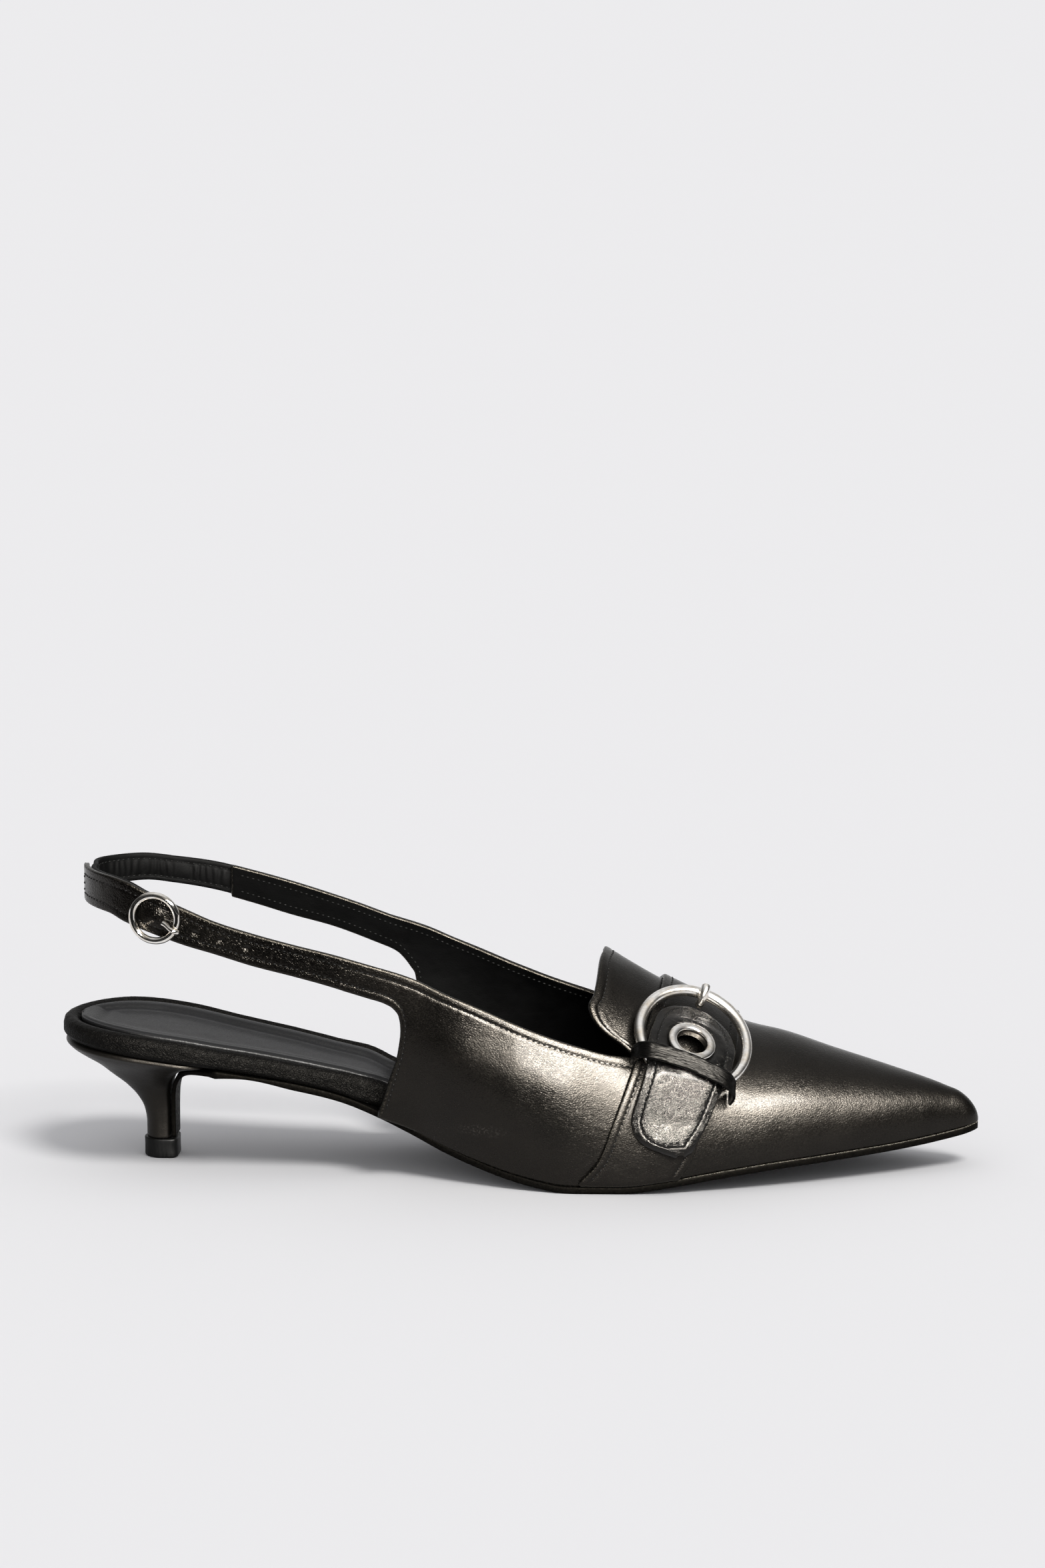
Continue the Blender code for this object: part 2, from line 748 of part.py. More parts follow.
def make_ring_prong():
    """The blunt tongue that hooks over the ring's upper arc from the strap's end."""
    middle, u, v, face = ring_frame()
    turn = np.radians(RING_PRONG_TURN)
    out = u * np.cos(turn) + v * np.sin(turn)
    reach = RING_WIRE + CLEARANCE + PRONG_RADIUS
    wire = middle + out * RING_RADIUS
    path = []
    for bend in np.radians([-20, 0, 20, 40, 60, 80, 95]):
        path.append(wire + (-out * np.cos(bend) + face * np.sin(bend)) * reach)
    return rod("ring_prong", path, PRONG_RADIUS, STEEL)


# ahead is from the ring's middle along the shoe, as a share of RING_RADIUS; lift is the keeper's
# underside over the upper as a share of STRAP_THICK.
KEEPER = [
    # step, ahead, angle, lift
    (0, -0.990, 39.2, 1.20),
    (1, -1.000, 39.0, 2.60),
    (2, -0.960, 38.9, 4.60),
    (3, -0.790, 38.8, 5.75),
    (4, -0.513, 38.4, 5.90),
    (5, -0.180, 37.5, 5.85),
    (6, 0.150, 35.8, 5.75),
    (7, 0.440, 34.0, 5.45),
    (8, 0.620, 32.0, 4.30),
    (9, 0.660, 31.4, 2.60),
    (10, 0.665, 31.2, 1.20),
]


def make_keeper():
    """The narrow loop that stands over the buckle strap, down to the band at both ends."""
    ahead, angle, lift = (curve(KEEPER, n, unit) for n, unit in ((1, 1.0), (2, 1.0), (3, STRAP_THICK)))
    steps = np.linspace(0, len(KEEPER) - 1, 25)
    path = np.array([raised(by_ring(ahead(k)), np.radians(angle(k)), lift(k)) for k in steps])
    x = by_ring(ahead(5))
    across = raised(x, np.radians(44), KEEPER_WIDTH) - raised(x, np.radians(32), KEEPER_WIDTH)
    tangents = np.gradient(path, axis=0)
    rings = []
    for point, along in zip(path, tangents):
        along = along / np.linalg.norm(along)
        side = across - along * (across @ along)
        side /= np.linalg.norm(side)
        out = np.cross(along, side)
        half, edge = KEEPER_WIDTH / 2, KEEPER_WIDTH / 2 - 0.4 * MM
        corners = [(-edge, 0), (edge, 0), (half, 0.35), (half, 0.65)]
        corners += [(edge, 1), (-edge, 1), (-half, 0.65), (-half, 0.35)]
        rings.append([point + side * s + out * KEEPER_THICK * h for s, h in corners])
    return loft("keeper", rings, LEATHER)


def contour(inset, back, front, height, count=32):
    """A ring of points round the plan outline, drawn in by inset(x), at height(x, side)."""
    turns = np.linspace(0, np.pi, count + 1)
    lateral, medial = [], []
    for k, turn in enumerate(turns):
        t = (1 - np.cos(turn)) / 2
        t = 0.7 * t + 0.3 * k / count
        x = back + (front - back) * t
        for side, out in ((-1, lateral), (1, medial)):
            wide = half_width(x, side, inset(x), back - inset(x), front + inset(x))
            out.append(np.array([x, AXIS(share(x)) + side * max(wide, 0.0), height(x, side)]))
    return lateral + medial[-2:0:-1]


# The insole's rolled edge above the sole on each side, as shares of SEAT_HEIGHT.
RIM = [
    # along, lateral, medial
    (0.000, 0.150, 0.150),
    (0.068, 0.164, 0.190),
    (0.130, 0.168, 0.199),
    (0.184, 0.152, 0.184),
    (0.240, 0.150, 0.180),
    (0.288, 0.158, 0.180),
    (0.345, 0.205, 0.212),
    (0.390, 0.190, 0.193),
    (0.450, 0.110, 0.112),
    (0.550, 0.075, 0.075),
    (1.000, 0.060, 0.060),
]
RIM_LATERAL, RIM_MEDIAL = (curve(RIM, n, SEAT_HEIGHT) for n in (1, 2))


# The section of each edge: inset in millimetres, level as a share of the rim's height or of the
# sock's thickness.
INSOLE_EDGE = [
    # inset, level
    (0.9, 0.00),
    (0.0, 0.24),
    (0.0, 0.60),
    (0.7, 0.90),
    (2.2, 1.00),
    (3.6, 0.92),
    (4.7, SOCK_DISH),
]
SOCK_EDGE = [
    # inset, level
    (0.3, 0.00),
    (0.0, 0.35),
    (0.3, 0.75),
    (1.5, 1.00),
    (4.5, 1.15),
]


def rim(x, side):
    return (RIM_LATERAL if side < 0 else RIM_MEDIAL)(share(x))


def tuck(x):
    """How far the insole draws in from the sole's outline, to pass inside the upper from the quarters on."""
    return INSOLE_TUCK * ease(*INSOLE_NARROWS, share(x)) - SEAT_OVERHANG


def make_insole():
    """The wrapped insole board: a rolled rim with a shallow dish inside it."""
    rings = []
    for inset, level in INSOLE_EDGE:

        def drawn_in(x, inset=inset):
            return tuck(x) + inset * MM

        def high(x, side, level=level):
            return feather(x) + CLEARANCE + rim(x, side) * level

        back, front = inset * MM - SEAT_OVERHANG - SEAT_BACK, TIP - INSOLE_SETBACK - inset * MM
        rings.append(contour(drawn_in, back, front, high))
    return loft("insole", rings, LEATHER)


def make_sock():
    """The padded sock that lies in the insole's dish."""
    rings = []
    for inset, level in SOCK_EDGE:

        def drawn_in(x, inset=inset):
            return tuck(x) + SOCK_INSET + inset * MM

        def high(x, side, level=level):
            return feather(x) + CLEARANCE * 2 + rim(x, side) * SOCK_DISH + SOCK_THICK * level

        back = SOCK_INSET + inset * MM - SEAT_OVERHANG - SEAT_BACK
        rings.append(contour(drawn_in, back, TIP - SOCK_SETBACK - inset * MM, high))
    return loft("sock", rings, LEATHER)


# The breast flap's lower face from the step under the heel's front edge down to the top lift. high is
# a share of the way from the top lift to the seat, half a share of BALL_WIDTH.
BREAST = [
    # along, high, half
    (0.1223, 0.013, 0.066),
    (0.1223, 0.199, 0.067),
    (0.1227, 0.402, 0.075),
    (0.1246, 0.512, 0.090),
    (0.1285, 0.591, 0.112),
    (0.1358, 0.658, 0.150),
    (0.1454, 0.701, 0.198),
    (0.1569, 0.7213, 0.240),
    (0.1665, 0.7255, 0.262),
]


def make_outsole():
    """The sole from the toe through the waist to the heel's front edge, and on down the heel's breast."""
    breast = np.array([(station(a), heel_height(high), half * BALL_WIDTH) for a, high, half in BREAST])
    step_low = breast[-1, 1]
    path = breast[:, [0, 1]]
    tangents = np.gradient(path, axis=0)
    tangents /= np.linalg.norm(tangents, axis=1)[:, None]
    rings = []
    for (x, z, half), (dx, dz) in zip(breast, tangents):
        top = (x - dz * BREAST_THICK, z + dx * BREAST_THICK)
        rings.append(sole_ring((x, z), top, 0.0, half, half))
    fore = station(FOREPART_AT)
    stations = list(np.linspace(STEP_AT + BREAST_THICK, fore, 34))
    reach = TIP - 0.1 * MM - fore
    stations += [fore + reach * np.sin(t * np.pi / 2) for t in np.linspace(0, 1, 14)[1:]]
    for x in stations:
        seat = CLEARANCE * (1 - ease(*SEAT_GAP_ENDS, share(x)))
        wide = [half_width(x, side) for side in (-1, 1)]
        low = step_low + (feather(x) - SOLE_THICK - step_low) * ease(*SEAT_TO_WAIST, share(x))
        rings.append(sole_ring((x, low), (x, feather(x) - seat), AXIS(share(x)), *wide))
    return loft("outsole", rings, LEATHER)


def sole_ring(low, top, axis, lateral, medial):
    """One section of the sole: flat faces and a slightly rounded edge."""
    soft = min(0.4 * MM, lateral * 0.3)
    middle = ((low[0] + top[0]) / 2, (low[1] + top[1]) / 2)
    across = [(low, -lateral + soft), (middle, -lateral), (top, -lateral + soft)]
    across += [(top, medial - soft), (middle, medial), (low, medial - soft)]
    points = [np.array([x, axis + y, z]) for (x, z), y in across]
    return [points[1], points[2], points[3], points[4], points[5], points[0]]


# back and front place each ring of the heel along the shoe; their heights are shares of the way from
# the top lift to the seat; half is a share of BALL_WIDTH; seat is how far the ring follows the curve
# of the seat.
HEEL = [
    # back, back_high, front, front_high, half, seat
    (0.0882, 0.000, 0.1158, 0.000, 0.0670, 0.0),
    (0.0882, 0.137, 0.1158, 0.137, 0.0660, 0.0),
    (0.0858, 0.269, 0.1158, 0.269, 0.0690, 0.0),
    (0.0792, 0.382, 0.1158, 0.382, 0.0780, 0.0),
    (0.0662, 0.508, 0.1172, 0.495, 0.1010, 0.0),
    (0.0492, 0.628, 0.1208, 0.589, 0.1400, 0.0),
    (0.0331, 0.744, 0.1285, 0.675, 0.1920, 0.1),
    (0.0169, 0.834, 0.1400, 0.738, 0.2440, 0.4),
    (0.0054, 0.907, 0.1530, 0.770, 0.2830, 0.8),
    (0.0012, 0.954, 0.1680, 0.787, 0.3040, 1.0),
    (0.0020, 0.982, 0.1680, 0.811, 0.3020, 1.0),
]


def heel_ring(back, back_z, front, front_z, half, seat, square=0.42):
    """A D-shaped ring: round behind, nearly straight across in front."""
    spread = min(half * 1.05, (front - back) * 0.6)
    middle = back + spread
    points = []
    for turn in np.linspace(0, 2 * np.pi, 32, endpoint=False):
        c, s = -np.cos(turn), -np.sin(turn)
        if c <= 0:
            x, y = middle + spread * c, half * s
        else:
            x = middle + (front - middle) * c**square
            y = half * np.sign(s) * abs(s) ** square
        t = (x - back) / (front - back)
        chord = feather(back) + (feather(front) - feather(back)) * t
        z = back_z + (front_z - back_z) * t + seat * (feather(x) - chord)
        points.append(np.array([x, y, z]))
    return points


def make_heel():
    """The wrapped heel: a flared seat drawn in to a slim stem."""
    rings = []
    for back, back_high, front, front_high, half, seat in HEEL:
        places = (station(back), heel_height(back_high), station(front), heel_height(front_high))
        rings.append(heel_ring(*places, half * BALL_WIDTH, seat))
    return loft("heel", rings, LEATHER)


def make_top_lift():
    """The hard tread under the heel."""
    rings = []
    soft = LIFT_HEIGHT / 14
    for inset, z in ((soft, 0.0), (0.0, soft), (0.0, LIFT_HEIGHT)):
        back, front = inset - LIFT_LENGTH / 2 - LIFT_OFFSET, LIFT_LENGTH / 2 - LIFT_OFFSET - inset
        rings.append(heel_ring(back, z, front, z, LIFT_WIDTH / 2 - inset, 0.0))
    return loft("top_lift", rings, HARD_RUBBER)


def make_back_strap():
    """The elastic strap: outside the far strap's stub, round the heel, under the near strap's free end."""
    far_low, far_top = (curve(MEDIAL_STRAP, n, STRAP_HEIGHT) for n in (1, 2))
    near_low, near_top = (curve(LATERAL_STRAP, n, STRAP_HEIGHT) for n in (1, 2))
    bend = LOOP_RADIUS - LOOP_BACK
    step = (BACK_STRAP_START - bend) / 8
    stops = [(BACK_STRAP_START - k * step, 1) for k in range(8)]
    stops += [(loop_station(np.radians(t)), 1) for t in np.linspace(90, 0, 10)]
    stops += [(loop_station(np.radians(t)), -1) for t in np.linspace(10, 90, 9)]
    stops += [(BACK_STRAP_END, -1)]
    plan = np.array([(x, side * loop_width(x)) for x, side in stops])
    tangents = np.gradient(plan, axis=0)
    tangents /= np.linalg.norm(tangents, axis=1)[:, None]
    outer = CLEARANCE + LINING_WALL / 2
    inner = -(WALL + CLEARANCE + LINING_WALL / 2)
    rings = []
    for (x, y), (dx, dy) in zip(plan, tangents):
        near = ease(-0.75 * LOOP_RADIUS, 0.75 * LOOP_RADIUS, -y) if x < bend else float(y < 0)
        out = np.array([dy, -dx, 0.0])
        offset = outer + (inner - outer) * ease(-0.58 * LOOP_RADIUS, -0.04 * LOOP_RADIUS, -y)
        at = share(x)
        low = far_low(at) + (near_low(at) - far_low(at)) * near
        top = far_top(at) + (near_top(at) - far_top(at)) * near
        middle = np.array([x, y, 0.0]) + out * offset
        half, soft = LINING_WALL / 2, 0.5 * MM
        around = [(-half, low + soft), (-half, top - soft), (-half * 0.4, top), (half * 0.4, top)]
        around += [(half, top - soft), (half, low + soft), (half * 0.4, low), (-half * 0.4, low)]
        rings.append([middle + out * s + np.array([0, 0, z]) for s, z in around])
    return loft("back_strap", rings, LINING)


def small_ring_frame():
    """The small buckle's middle beside the near strap, and its directions."""
    x, step = station(SMALL_RING_AT[0]), LOOP_RADIUS / 8
    slope = (loop_width(x + step) - loop_width(x - step)) / (2 * step)
    along = np.array([1.0, -slope, 0.0])
    along /= np.linalg.norm(along)
    up = np.array([-0.3, 0.0, 1.0])
    up -= along * (up @ along)
    up /= np.linalg.norm(up)
    face = np.cross(along, up)
    middle = side_point(x, SMALL_RING_AT[1] * STRAP_HEIGHT, -1) + face * (SMALL_RING_WIRE + 2 * CLEARANCE)
    return middle, along, up, face


# reach is from the small ring's middle as a share of SMALL_RING_RADIUS, rise a share of the height
# over its wire.
SMALL_PRONG = [
    # reach, rise
    (0.400, 0.167),
    (0.585, 0.278),
    (0.754, 0.667),
    (0.892, 0.956),
    (1.015, 1.000),
    (1.123, 0.833),
    (1.185, 0.611),
]


def make_small_prong():
    """The short tongue of the small buckle, resting over its front rim."""
    middle, u, v, face = small_ring_frame()
    turn = np.radians(SMALL_PRONG_TURN)
    out = u * np.cos(turn) + v * np.sin(turn)
    over = SMALL_RING_WIRE + SMALL_PRONG_RADIUS + CLEARANCE / 3
    path = []
    for reach, rise in SMALL_PRONG:
        path.append(middle + out * reach * SMALL_RING_RADIUS + face * rise * over)
    return rod("small_prong", path, SMALL_PRONG_RADIUS, STEEL, across=7)


def main():
    for old in list(bpy.data.objects):
        bpy.data.objects.remove(old)
    make_outsole()
    make_insole()
    make_sock()
    make_heel()
    make_top_lift()
    make_upper()
    make_flap()
    make_band()
    make_buckle_strap()
    make_eyelet()
    make_keeper()
    make_back_strap()
    middle, u, v, _ = ring_frame()
    torus("o_ring", middle, u, v, RING_RADIUS, RING_WIRE, STEEL)
    make_ring_prong()
    middle, u, v, _ = small_ring_frame()
    torus("small_ring", middle, u, v, SMALL_RING_RADIUS, SMALL_RING_WIRE, STEEL, around=28, across=8)
    make_small_prong()


if __name__ == "__main__":
    main()
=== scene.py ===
"""The looks of a black leather slingback pump: each piece as a fine mesh with its leather, lining or metal finish.

Metres. X runs to the toe, Y to the inner (medial) side, away from the camera, and Z up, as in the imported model.
"""

import bmesh
import bpy
import numpy as np
from mathutils import Matrix, Vector


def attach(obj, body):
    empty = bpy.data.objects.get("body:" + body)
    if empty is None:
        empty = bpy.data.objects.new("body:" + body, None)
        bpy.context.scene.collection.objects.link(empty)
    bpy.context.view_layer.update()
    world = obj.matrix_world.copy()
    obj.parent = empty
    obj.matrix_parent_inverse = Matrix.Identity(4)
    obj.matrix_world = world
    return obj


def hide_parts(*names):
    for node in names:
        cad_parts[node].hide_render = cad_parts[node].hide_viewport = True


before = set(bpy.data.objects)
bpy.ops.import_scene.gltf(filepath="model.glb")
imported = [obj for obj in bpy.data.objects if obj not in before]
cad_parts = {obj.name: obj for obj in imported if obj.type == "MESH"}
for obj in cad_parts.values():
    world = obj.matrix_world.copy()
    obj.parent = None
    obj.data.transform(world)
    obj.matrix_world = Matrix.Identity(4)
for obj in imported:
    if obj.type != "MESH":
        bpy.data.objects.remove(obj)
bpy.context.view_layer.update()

MM = 0.001

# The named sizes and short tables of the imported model, which every fine surface follows. TOE_DROP and the front of
# BAND_EDGES from 60 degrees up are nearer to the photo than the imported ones.
SHOE_LENGTH = 260.0 * MM
SEAT_BACK = 27.8 * MM
BALL_WIDTH = 73.0 * MM
SEAT_HEIGHT = 36.0 * MM
INSTEP_HEIGHT = 62.0 * MM
STRAP_HEIGHT = 84.0 * MM
SEAT_RADIUS = 25.0 * MM
TOE_RADIUS = 5.0 * MM
TOE_DROP = 7.5 * MM
SOLE_THICK = 2.0 * MM
WALL = 1.6 * MM
CLEARANCE = 0.3 * MM
WELT = 0.8 * MM
MEDIAL_RISE = 3.2 * MM
LOOP_BACK = 21.5 * MM
LOOP_RADIUS = 24.0 * MM
LINING_WALL = 1.8 * MM
RING_RADIUS = 15.6 * MM
RING_WIRE = 1.6 * MM
RING_LIFT = 3.7 * MM
RING_AT = (0.6858, 51.2)
RING_PRONG_TURN = 62.5
STRAP_THICK = 2.0 * MM
BAND_THICK = 1.3 * MM
KEEPER_THICK = 1.2 * MM
KEEPER_WIDTH = 4.8 * MM
EYELET_RADIUS = 6.8 * MM
EYELET_HOLE = 4.3 * MM
EYELET_BARREL = 0.55 * MM
EYELET_RISE = 1.35 * MM
EYELET_AT = (-0.105, 44.8)
PRONG_RADIUS = 1.3 * MM
LIFT_HEIGHT = 5.6 * MM
LIFT_LENGTH = 10.0 * MM
LIFT_WIDTH = 10.2 * MM
LIFT_OFFSET = 0.6 * MM
BREAST_THICK = 1.3 * MM
SMALL_RING_RADIUS = 6.5 * MM
SMALL_RING_WIRE = 1.0 * MM
SMALL_RING_AT = (0.1146, 0.888)
SMALL_PRONG_RADIUS = 0.7 * MM
SMALL_PRONG_TURN = -27
BACK_STRAP_START = 45.0 * MM
BACK_STRAP_END = 6.0 * MM
THROAT_AT = 0.634
THROAT_RISE = 10.0 * MM
SEAT_OVERHANG = 0.4 * MM
INSOLE_TUCK = 4.0 * MM
INSOLE_SETBACK = 14.0 * MM
SOCK_SETBACK = 26.0 * MM
SOCK_INSET = 5.2 * MM
SOCK_DISH = 0.72
SOCK_THICK = 1.4 * MM
STEP_AT = 16.2 * MM
LOOP_TO_QUARTER = (0.322, 0.407)
INSOLE_NARROWS = (0.326, 0.361)
SEAT_TO_WAIST = (0.169, 0.261)
SEAT_GAP_ENDS = (0.207, 0.261)
MEDIAL_STRAP_AT = 0.174
STRAPS_END = 0.3185
STRAP_LIFTS = (19.0, 31.0)

OUTLINE = [
    # along, axis, lateral, medial
    (0.000, 0.000, 0.312, 0.312),
    (0.107, 0.000, 0.314, 0.314),
    (0.222, 0.000, 0.276, 0.268),
    (0.307, 0.007, 0.264, 0.240),
    (0.395, 0.014, 0.329, 0.276),
    (0.453, 0.016, 0.400, 0.344),
    (0.511, 0.020, 0.466, 0.425),
    (0.568, 0.025, 0.504, 0.482),
    (0.638, 0.029, 0.500, 0.496),
    (0.722, 0.036, 0.447, 0.438),
    (0.799, 0.041, 0.363, 0.349),
    (0.876, 0.048, 0.253, 0.240),
    (0.934, 0.052, 0.159, 0.151),
    (0.984, 0.055, 0.073, 0.070),
    (1.000, 0.055, 0.052, 0.050),
]
FEATHER = [
    # along, feather
    (0.000, 1.000),
    (0.068, 0.953),
    (0.145, 0.872),
    (0.215, 0.789),
    (0.257, 0.731),
    (0.303, 0.650),
    (0.353, 0.520),
    (0.384, 0.425),
    (0.422, 0.300),
    (0.461, 0.200),
    (0.495, 0.130),
    (0.530, 0.078),
    (0.555, 0.0556),
    (0.610, 0.0556),
    (0.665, 0.100),
    (0.722, 0.157),
    (0.768, 0.194),
    (0.842, 0.231),
    (0.915, 0.267),
    (0.970, 0.311),
    (1.000, 0.350),
]
CREST = [
    # along, crest
    (0.338, 1.480),
    (0.453, 1.290),
    (0.530, 1.150),
    (0.596, 0.989),
    (0.652, 0.853),
    (0.705, 0.746),
    (0.748, 0.652),
    (0.788, 0.613),
    (0.842, 0.538),
    (0.899, 0.461),
    (0.953, 0.386),
    (0.972, 0.355),
    (1.000, 0.325),
]
FLANK = [
    # along, crown, belly_lateral, belly_medial
    (0.338, 0.60, 0.140, 0.165),
    (0.422, 0.70, 0.100, 0.130),
    (0.492, 0.82, 0.048, 0.060),
    (0.560, 1.00, 0.022, 0.026),
    (0.640, 1.20, 0.018, 0.020),
    (0.760, 1.20, 0.020, 0.020),
    (0.900, 1.10, 0.015, 0.015),
    (1.000, 1.00, 0.000, 0.000),
]
LATERAL_STRAP = [
    # along, low, top
    (0.025, 0.902, 1.012),
    (0.059, 0.893, 1.006),
    (0.078, 0.870, 0.995),
    (0.102, 0.844, 0.965),
    (0.145, 0.800, 0.911),
    (0.177, 0.774, 0.871),
    (0.220, 0.736, 0.832),
    (0.263, 0.705, 0.799),
    (0.307, 0.670, 0.768),
    (0.338, 0.640, 0.742),
]
MEDIAL_STRAP = [
    # along, low, top
    (0.025, 0.899, 1.000),
    (0.076, 0.901, 0.995),
    (0.108, 0.888, 0.981),
    (0.152, 0.862, 0.960),
    (0.196, 0.824, 0.926),
    (0.240, 0.781, 0.887),
    (0.285, 0.742, 0.842),
    (0.338, 0.680, 0.784),
]
TOPLINE = [
    # along, top
    (0.338, 0.742),
    (0.391, 0.692),
    (0.422, 0.650),
    (0.459, 0.604),
    (0.495, 0.557),
    (0.531, 0.514),
    (0.568, 0.477),
    (0.603, 0.446),
    (0.630, 0.433),
]
LOOP_SPREAD = [
    # along, spread
    (0.107, 0.950),
    (0.145, 1.008),
    (0.222, 1.075),
    (0.338, 1.146),
]
CORNER = [
    # step, low_along, low, top_along
    (0, 0.338, 0.640, 0.338),
    (1, 0.360, 0.621, 0.362),
    (2, 0.371, 0.602, 0.376),
    (3, 0.378, 0.570, 0.389),
    (4, 0.380, 0.520, 0.404),
    (5, 0.377, 0.440, 0.422),
    (6, 0.368, 0.350, 0.442),
    (7, 0.355, 0.225, 0.461),
]
FLAP_EDGE = [
    # angle, along
    (40.0, 0.633),
    (43.2, 0.615),
    (45.2, 0.597),
    (48.4, 0.585),
    (52.0, 0.581),
    (57.0, 0.586),
    (65.0, 0.589),
    (78.0, 0.591),
    (90.0, 0.594),
]
BAND_EDGES = [
    # angle, rear, front
    (0.0, 0.570, 0.674),
    (7.0, 0.593, 0.688),
    (17.0, 0.607, 0.698),
    (28.0, 0.620, 0.711),
    (37.0, 0.629, 0.722),
    (60.0, 0.646, 0.7340),
    (78.0, 0.6545, 0.7345),
    (90.0, 0.656, 0.7335),
]
BUCKLE_STRAP = [
    # angle, left, right, tilt, drape
    (10.4, -0.260, -0.145, 0.95, 1.75),
    (11.8, -0.465, -0.020, 0.95, 1.77),
    (14.2, -0.785, 0.050, 0.95, 1.82),
    (17.0, -0.938, 0.150, 0.95, 1.90),
    (20.6, -0.990, 0.250, 0.95, 2.10),
    (28.0, -0.955, 0.400, 1.12, 2.60),
    (35.0, -0.905, 0.553, 1.12, 3.00),
    (44.5, -0.815, 0.653, 0.88, 3.00),
    (50.0, -0.735, 0.687, 0.38, 3.00),
    (56.0, -0.647, 0.653, -0.35, 3.00),
    (60.0, -0.547, 0.603, -0.85, 3.00),
    (64.0, -0.380, 0.470, -1.22, 3.00),
    (66.5, -0.163, 0.287, -1.35, 3.00),
]
KEEPER = [
    # step, ahead, angle, lift
    (0, -0.990, 39.2, 1.20),
    (1, -1.000, 39.0, 2.60),
    (2, -0.960, 38.9, 4.60),
    (3, -0.790, 38.8, 5.75),
    (4, -0.513, 38.4, 5.90),
    (5, -0.180, 37.5, 5.85),
    (6, 0.150, 35.8, 5.75),
    (7, 0.440, 34.0, 5.45),
    (8, 0.620, 32.0, 4.30),
    (9, 0.660, 31.4, 2.60),
    (10, 0.665, 31.2, 1.20),
]
RIM = [
    # along, lateral, medial
    (0.000, 0.150, 0.150),
    (0.068, 0.164, 0.190),
    (0.130, 0.168, 0.199),
    (0.184, 0.152, 0.184),
    (0.240, 0.150, 0.180),
    (0.288, 0.158, 0.180),
    (0.345, 0.205, 0.212),
    (0.390, 0.190, 0.193),
    (0.450, 0.110, 0.112),
    (0.550, 0.075, 0.075),
    (1.000, 0.060, 0.060),
]
INSOLE_EDGE = [
    # step, inset, level
    (0, 0.9, 0.00),
    (1, 0.0, 0.24),
    (2, 0.0, 0.60),
    (3, 0.7, 0.90),
    (4, 2.2, 1.00),
    (5, 3.6, 0.92),
    (6, 4.7, 0.72),
]
BREAST = [
    # along, high, half
    (0.1223, 0.013, 0.066),
    (0.1223, 0.199, 0.067),
    (0.1227, 0.402, 0.075),
    (0.1246, 0.512, 0.090),
    (0.1285, 0.591, 0.112),
    (0.1358, 0.658, 0.150),
    (0.1454, 0.701, 0.198),
    (0.1569, 0.7213, 0.240),
    (0.1665, 0.7255, 0.262),
]
HEEL = [
    # step, back, back_high, front, front_high, half, seat
    (0, 0.0882, 0.000, 0.1158, 0.000, 0.0670, 0.0),
    (1, 0.0882, 0.137, 0.1158, 0.137, 0.0660, 0.0),
    (2, 0.0858, 0.269, 0.1158, 0.269, 0.0690, 0.0),
    (3, 0.0792, 0.382, 0.1158, 0.382, 0.0780, 0.0),
    (4, 0.0662, 0.508, 0.1172, 0.495, 0.1010, 0.0),
    (5, 0.0492, 0.628, 0.1208, 0.589, 0.1400, 0.0),
    (6, 0.0331, 0.744, 0.1285, 0.675, 0.1920, 0.1),
    (7, 0.0169, 0.834, 0.1400, 0.738, 0.2440, 0.4),
    (8, 0.0054, 0.907, 0.1530, 0.770, 0.2830, 0.8),
    (9, 0.0012, 0.954, 0.1680, 0.787, 0.3040, 1.0),
    (10, 0.0020, 0.982, 0.1680, 0.811, 0.3020, 1.0),
]
SMALL_PRONG = [
    # reach, rise
    (0.400, 0.167),
    (0.585, 0.278),
    (0.754, 0.667),
    (0.892, 0.956),
    (1.015, 1.000),
    (1.123, 0.833),
    (1.185, 0.611),
]

# Sizes that only the looks have.
STITCH_PITCH = 1.6 * MM
STITCH_LENGTH = 1.15 * MM
THREAD = 0.26 * MM
SEAM_IN = 1.9 * MM
THREAD_SINK = 0.02 * MM
EDGE_STEPS = (0.0, 0.3, 0.6, 0.95, 1.3, 1.6, 1.9, 2.2, 2.5, 3.0, 3.8)
SEAM_STEP = EDGE_STEPS.index(1.9)
JOIN_WITHIN = 0.000004
SOCK_WALL = 1.1 * MM
SOCK_HOLLOW = 1.7 * MM
QUARTER_FULL = 1.5 * MM
QUARTER_FULL_AT = (88 * MM, 26 * MM)
STRAP_HOLES = [
    # station, height
    (13.1 * MM, 70.35 * MM),
    (20.3 * MM, 68.55 * MM),
    (27.6 * MM, 66.50 * MM),
]
LOOP_BULGE = 0.9 * MM
SCUFF_AT = (93.0 * MM, 16.5 * MM)
STRAP_ROWS, STRAP_COLUMNS = 200, 110
STRAP_SEAM_IN = 2.0 * MM
STRAP_SEAM_ROW = 15
STRAP_LEAN = 16.0
STRAP_LEAN_FROM = 25.0 * MM
STRAP_LEAN_TO = 49.0 * MM
# The station from which the sole edge's painted highlight, its pale glints, starts.
WELT_GLINTS_FROM = 150.0 * MM
FORE_SOLE_FROM = 150.0 * MM
LIFT_EDGE = [
    # inset in mm, share of the height
    (0.55, 0.0),
    (0.4, 0.0),
    (0.18, 0.03),
    (0.05, 0.07),
    (0.0, 0.12),
    (0.03, 0.3),
    (0.05, 0.55),
    (0.03, 0.8),
    (0.0, 0.93),
    (0.06, 0.98),
    (0.2, 1.0),
]

# The camera stands where the photograph was taken from.
CAMERA_AT = (0.17617, -1.19958, 0.33393)
CAMERA_YAW = 3.5
CAMERA_PITCH = 10.6
CAMERA_LENS = 100.0
CAMERA_FRAME = 36.0


